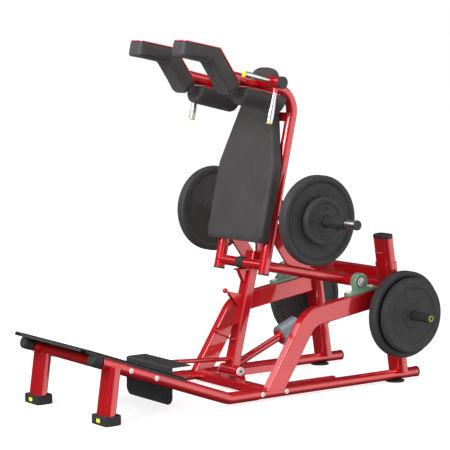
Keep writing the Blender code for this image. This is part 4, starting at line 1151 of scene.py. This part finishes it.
def add_loaded_plates():
    inner = HORN_STOP_X + HORN_STOP[0] + PLATE_GAP
    outer = inner + BIG_PLATE[1] + PLATE_GAP
    for side in SIDES:
        centre = side_point(side.sign * (inner + BIG_PLATE[1] / 2), HORN)
        node = f"loaded_big_plate_{side}"
        add_plate(f"horn_large_disc_{side}", node, BIG_PLATE, centre, side, 0.022, BIG_RINGS, BIG_RIBS)
        centre = side_point(side.sign * (outer + SMALL_PLATE[1] / 2), HORN)
        node = f"loaded_small_plate_{side}"
        add_plate(f"horn_small_disc_{side}", node, SMALL_PLATE, centre, side, 0.01, SMALL_RINGS, SMALL_RIBS)
        add_collar(side, outer + SMALL_PLATE[1] + PLATE_GAP)


def add_collar(side, start_x):
    """The lock collar: a slim sleeve, a fuller grip with one groove, and an outer ring."""
    slim, full, groove = 0.0275, 0.03, 0.0277
    profile = [(0, BORE_RADIUS), (0, slim), (0.054, slim), (0.064, full), (0.136, full), (0.138, groove)]
    profile += [(0.142, groove), (0.144, full), (COLLAR_LENGTH, full), (COLLAR_LENGTH, BORE_RADIUS)]
    turned = softened(profile, 0.0015, 3) + flat(profile[:1])
    collar = lathe(f"collar_sleeve_{side}", turned, side_point(side.sign * start_x, HORN), side.out)
    piece(collar, f"lock_collar_{side}", BLACK, f"lock_collar_{side}")


# Pads


def remeshed(obj, voxel):
    """Gives the pad an even skin of small quads."""
    modifier = obj.modifiers.new("Remesh", "REMESH")
    modifier.mode = "VOXEL"
    modifier.voxel_size = voxel
    bpy.context.view_layer.update()
    graph = bpy.context.evaluated_depsgraph_get()
    mesh = bpy.data.meshes.new_from_object(obj.evaluated_get(graph))
    obj.modifiers.clear()
    obj.data = mesh


def coordinates(mesh):
    points = np.empty(len(mesh.vertices) * 3)
    mesh.vertices.foreach_get("co", points)
    return points.reshape(-1, 3)


def set_coordinates(mesh, points):
    mesh.vertices.foreach_set("co", np.asarray(points, np.float32).ravel())
    mesh.update()


def smoothed(mesh, rounds=2, factor=0.5):
    """Evens the skin: each vertex moves towards the mean of its neighbours."""
    points = coordinates(mesh)
    ends = np.empty(len(mesh.edges) * 2, np.int64)
    mesh.edges.foreach_get("vertices", ends)
    first, second = ends.reshape(-1, 2).T
    count = np.bincount(ends, minlength=len(points))[:, None]
    for _ in range(rounds):
        total = np.zeros_like(points)
        np.add.at(total, first, points[second])
        np.add.at(total, second, points[first])
        points += factor * (total / count - points)
    set_coordinates(mesh, points)


def cushion(name, outline, thickness, round_edge):
    """A padded slab, well rounded on its front and tight along its back; its two halves overlap."""
    full = slab(name, outline, thickness, edge=round_edge, rounds=6)
    shift = Vector((0, 0, -thickness / 4))
    tight = slab(name + "_half", outline, thickness / 2, centre=shift, edge=0.002)
    with editing(full.data) as work:
        work.from_mesh(tight.data)
    bpy.data.objects.remove(tight)
    return full


def prepare_pad(obj, node, limit):
    """Notes a pad for the simulation, and how far its skin may travel."""
    smoothed(obj.data)
    PADS.append((obj, node, limit))
    cloth = obj.modifiers.new("Cloth", "CLOTH").settings
    cloth.quality = 4
    cloth.use_pressure = True
    cloth.uniform_pressure_force = 3.0
    cloth.effector_weights.gravity = 0
    cloth.tension_stiffness = 30
    cloth.compression_stiffness = 30
    cloth.shear_stiffness = 15
    cloth.bending_stiffness = 4


def inflate_pads():
    """Blows up every pad together, then caps each point's travel and drops the simulation."""
    scene = bpy.context.scene
    for step in range(1, PAD_STEPS + 1):
        scene.frame_set(step)
    graph = bpy.context.evaluated_depsgraph_get()
    results = [coordinates(obj.evaluated_get(graph).data) for obj, _, _ in PADS]
    for (obj, _, limit), swollen in zip(PADS, results):
        rest = coordinates(obj.data)
        travel = swollen - rest
        length = np.linalg.norm(travel, axis=1, keepdims=True)
        obj.modifiers.clear()
        set_coordinates(obj.data, rest + travel * np.minimum(1, limit / np.maximum(length, 1e-9)))
        smoothed(obj.data)
        obj.data.shade_smooth()
        subdivision = obj.modifiers.new("Subdivision", "SUBSURF")
        subdivision.levels = 1
        subdivision.render_levels = 1
    scene.frame_set(1)


def seam(name, obj, points):
    """A welt that lies on the pad's skin along the points."""
    mesh = obj.data
    tree = BVHTree.FromPolygons([v.co for v in mesh.vertices], [p.vertices for p in mesh.polygons])
    line = []
    for point in points:
        place, normal, _, _ = tree.find_nearest(point)
        line.append(place - normal * 0.0004)
    count = len(line)
    line = [(line[i - 1] + 2 * line[i] + line[(i + 1) % count]) / 4 for i in range(count)]
    welt = tube(name, line, 0.0016, 3, cyclic=True)
    welt.data.shade_smooth()
    settle(welt, "carriage", VINYL)


def dense(outline, spacing=0.006):
    """A closed outline with extra points along its straight runs."""
    points = []
    for first, second in zip(outline, outline[1:] + outline[:1]):
        steps = max(1, round((second - first).length / spacing))
        points += [first.lerp(second, step / steps) for step in range(steps)]
    return points


def shrunk(outline, amount):
    """The outline moved in by the amount."""
    result = []
    for index, point in enumerate(outline):
        heading = (outline[(index + 1) % len(outline)] - outline[index - 1]).normalized()
        result.append(point + Vector((-heading.y, heading.x)) * amount)
    return result


def back_pad_outline():
    mirrored = [(-x, along, radius) for x, along, radius in BACK_PAD_CORNERS[::-1]]
    corners = list(BACK_PAD_CORNERS) + mirrored
    return rounded_outline([corner[:2] for corner in corners], [corner[2] for corner in corners])


def roll_pad_outline():
    """Flat on top, round below."""
    centre = ROLL_PAD_TOP - ROLL_PAD_DEPTH + ROLL_PAD_RADIUS
    outline = arc((0, centre), ROLL_PAD_RADIUS, 180, 180, 32)
    top = [(ROLL_PAD_RADIUS, ROLL_PAD_TOP), (-ROLL_PAD_RADIUS, ROLL_PAD_TOP)]
    return outline + rounded_outline(top + [outline[0], outline[-1]], [0.01, 0.01, 0, 0])[:-2]


def add_back_pad():
    rear, front = BACK_PAD_RANGE
    outline = back_pad_outline()
    thickness = front - rear - 2 * PAD_CLEARANCE
    pad = cushion("back_cushion", shrunk(outline, PAD_CLEARANCE), thickness, 0.016)
    remeshed(pad, 0.006)
    place = Matrix.Translation(carriage_point(0, 0, (rear + front) / 2))
    pad.data.transform(place @ CARRIAGE_VIEW.to_4x4())
    prepare_pad(pad, "back_pad", 0.0035)
    board = slab("back_board", shrunk(outline, 0.02), 0.006, CARRIAGE_VIEW, carriage_point(0, 0, 0.0325))
    piece(board, "carriage", BLACK)
    outline_bracket = rounded_box(2 * ARM_X + 0.02, 0.045, 0.004)
    for name, along in (("back_bracket", 0.8), ("back_bracket_low", 0.25)):
        place = carriage_point(0, along, 0.0255)
        piece(slab(name, outline_bracket, 0.008, CARRIAGE_VIEW, place), "carriage", RED)
    line = [carriage_point(p.x, p.y, front) for p in dense(shrunk(outline, 0.016))]
    return [("back_cushion_welt", pad, line)]


def add_roll_pads():
    rear, front = ROLL_PAD_RANGE
    outline = roll_pad_outline()
    middle, length = (rear + front) / 2, front - rear - 2 * PAD_CLEARANCE
    seams = []
    for side in SIDES:
        name, inner = f"roll_cushion_{side}", shrunk(outline, PAD_CLEARANCE)
        pad = slab(name, inner, length, edge=0.006, rounds=4)
        remeshed(pad, 0.005)
        place = Matrix.Translation(carriage_point(side.arm, 0, middle))
        pad.data.transform(place @ CARRIAGE_VIEW.to_4x4())
        prepare_pad(pad, f"roll_pad_{side}", 0.0035)
        for label, forward in (("front", front), ("rear", rear)):
            line = [carriage_point(side.arm + p.x, p.y, forward) for p in dense(shrunk(outline, 0.0035))]
            seams.append((f"roll_welt_{label}_{side}", pad, line))
        place = carriage_point(side.arm, ROLL_PAD_TOP + 0.004, middle)
        mount = slab(f"roll_mount_{side}", rounded_box(0.09, 0.006, 0.002), 0.2, CARRIAGE_VIEW, place)
        piece(mount, "carriage", RED)
    return seams


def shoulder_lines(depth):
    """The front, the bend and the tip of the shoulder line at this depth under it."""
    front, bend, tip = flat(SHOULDER_LINE)
    level, steep = (bend - front).normalized(), (tip - bend).normalized()
    under_level, under_steep = Vector((level.y, -level.x)), Vector((steep.y, -steep.x))
    spread = (under_level + under_steep).normalized()
    inner = bend + spread * depth / spread.dot(under_level)
    return front + under_level * depth, inner, tip + under_steep * depth


def shoulder_runs():
    """The lengths of the level and the steep part of the shoulder line."""
    front, bend, tip = flat(SHOULDER_LINE)
    return (bend - front).length, (tip - bend).length


def shoulder_map(point, side_x):
    """Bends a flat strip point (across, run, depth) round the shoulder line."""
    level, steep = shoulder_runs()
    start, inner, end = shoulder_lines(point.z)
    if point.y <= level:
        place = start.lerp(inner, point.y / level)
    else:
        place = inner.lerp(end, (point.y - level) / steep)
    return side_point(side_x + point.x, place)


def bent_strip(obj, x):
    """The flat strip bent round the shoulder line, welded again with its faces turned out."""
    name, mesh = obj.name, obj.data
    for vertex in mesh.vertices:
        vertex.co = shoulder_map(vertex.co, x)
    bpy.data.objects.remove(obj)
    return solid(name, mesh)


def strip_outline(margin, radius):
    """The shoulder strip laid out flat: across, and along its run."""
    run, half = sum(shoulder_runs()), SHOULDER_WIDTH / 2 - margin
    corners = [(-half, margin), (half, margin), (half, run - margin), (-half, run - margin)]
    return rounded_outline(corners, radius)


def add_shoulder_pads():
    level, _ = shoulder_runs()
    thickness = SHOULDER_THICKNESS - 2 * PAD_CLEARANCE
    middle = SHOULDER_SHEET + 0.0004 + thickness / 2
    seams = []
    for side in SIDES:
        outline = strip_outline(0.005, SHOULDER_CORNER)
        sheet = slab(f"shoulder_sheet_{side}", outline, SHOULDER_SHEET, edge=0.001)
        sheet.data.transform(Matrix.Translation((0, 0, SHOULDER_SHEET / 2)))
        with editing(sheet.data) as work:
            everything = work.verts[:] + work.edges[:] + work.faces[:]
            bmesh.ops.bisect_plane(work, geom=everything, plane_co=(0, level, 0), plane_no=BACKWARD)
        piece(bent_strip(sheet, side.arm), "carriage", RED, f"shoulder_plate_{side}")
        outline = strip_outline(PAD_CLEARANCE, SHOULDER_CORNER)
        pad = cushion(f"shoulder_cushion_{side}", outline, thickness, 0.008)
        pad.data.transform(Matrix.Translation((0, 0, middle)))
        remeshed(pad, 0.004)
        pad = bent_strip(pad, side.arm)
        prepare_pad(pad, f"shoulder_pad_{side}", 0.002)
        depth = middle + SHOULDER_THICKNESS / 2
        line = [shoulder_map(Vector((*p, depth)), side.arm) for p in dense(strip_outline(0.01, 0.032))]
        seams.append((f"shoulder_welt_{side}", pad, line))
    return seams


def add_pads():
    seams = add_back_pad() + add_roll_pads() + add_shoulder_pads()
    inflate_pads()
    for name, pad, line in seams:
        seam(name, pad, line)
    for pad, node, _ in PADS:
        settle(pad, "carriage", VINYL, node)


# Studio


def add_floor():
    mesh = bpy.data.meshes.new("studio_floor")
    with editing(mesh) as work:
        bmesh.ops.create_grid(work, x_segments=1, y_segments=1, size=30)
    mesh.materials.append(
        finish(
            "studio_floor", noise(0.6), ((0.5, 0.5, 0.5), (0.52, 0.52, 0.52)), Roughness=0.9,
            Specular_IOR_Level=0.0, Emission_Color=(1, 1, 1, 1), Emission_Strength=0.75,
        )
    )
    floor = link(bpy.data.objects.new("studio_floor", mesh))
    floor.visible_glossy = False
    floor.visible_diffuse = False


def add_area_light(name, place, target, size, power):
    light = bpy.data.lights.new(name, "AREA")
    light.shape = "SQUARE"
    light.size = size
    light.energy = power
    obj = link(bpy.data.objects.new(name, light))
    obj.location = place
    obj.rotation_euler = (Vector(target) - Vector(place)).to_track_quat("-Z", "Y").to_euler()
    obj.visible_camera = False


def add_world():
    """A white room. In reflections it's a soft bright band low down beyond the user's left shoulder."""
    world = bpy.data.worlds.new("studio")
    bpy.context.scene.world = world
    world.use_nodes = True
    tree = world.node_tree
    place = node(tree, "TexCoord", "Generated", {})
    facing = node(tree, "VectorMath", "Value", {0: place, 1: (0.78, 0.62, 0)}, operation="DOT_PRODUCT")
    height = node(tree, "SeparateXYZ", "Z", {"Vector": place})
    path = node(tree, "LightPath", "Is Diffuse Ray", {})
    glow = remapped(tree, facing, (0.2, 0.85), (0.04, 1.15), "SMOOTHSTEP")
    for source, target in (((-0.6, -0.25), (0.1, 1.0)), ((0.3, 0.65), (1.0, 0.15))):
        part = remapped(tree, height, source, target, "SMOOTHSTEP")
        glow = node(tree, "Math", "Value", {0: glow, 1: part}, operation="MULTIPLY")
    below = remapped(tree, height, (-0.4, 0.1), (0.85, 0.58), "SMOOTHSTEP")
    soft = node(tree, "Mix", "Result", {"Factor": path, "A": 1.0, "B": below})
    glossy = path.node.outputs["Is Glossy Ray"]
    strength = node(tree, "Mix", "Result", {"Factor": glossy, "A": soft, "B": glow})
    fill(tree, tree.nodes["Background"].inputs, {"Strength": strength, "Color": (1, 1, 1, 1)})


def add_camera():
    data = bpy.data.cameras.new("camera")
    data.lens = 139.84
    data.sensor_width = 36
    camera = link(bpy.data.objects.new("camera", data))
    camera.location = Vector((7.067, -5.4435, 1.730)) + SHIFT
    camera.rotation_euler = (math.radians(84.28), 0, math.radians(53.62))
    bpy.context.scene.camera = camera


def add_studio():
    add_floor()
    add_world()
    add_camera()
    add_area_light("key", (0.8, -5.0, 3.5), (0, 0, 0.7), 3.0, 280)
    add_area_light("fill", (-3.0, -3.0, 3.5), (0, 0, 0.7), 3.0, 40)
    add_area_light("top", (0.5, 0.5, 5.0), (0, 0, 0), 4.0, 60)
    bpy.context.scene.view_settings.view_transform = "Standard"


# All together

add_rails()
add_base_tubes()
add_front_legs()
add_front_cross_tube()
add_footplate()
add_cross_member()
add_rear_feet()
add_rear_uprights()
add_rear_beam()
add_bearing_frames()
add_pillow_blocks()
add_storage_horns()
add_prop_yoke()
add_side_tubes()
add_top_bar()
add_shoulder_arms()
add_lower_bar()
add_lever_frame()
add_trusses()
add_horn_bar()
add_handles()
add_prop()
add_stored_plates()
add_loaded_plates()
add_pads()
add_studio()
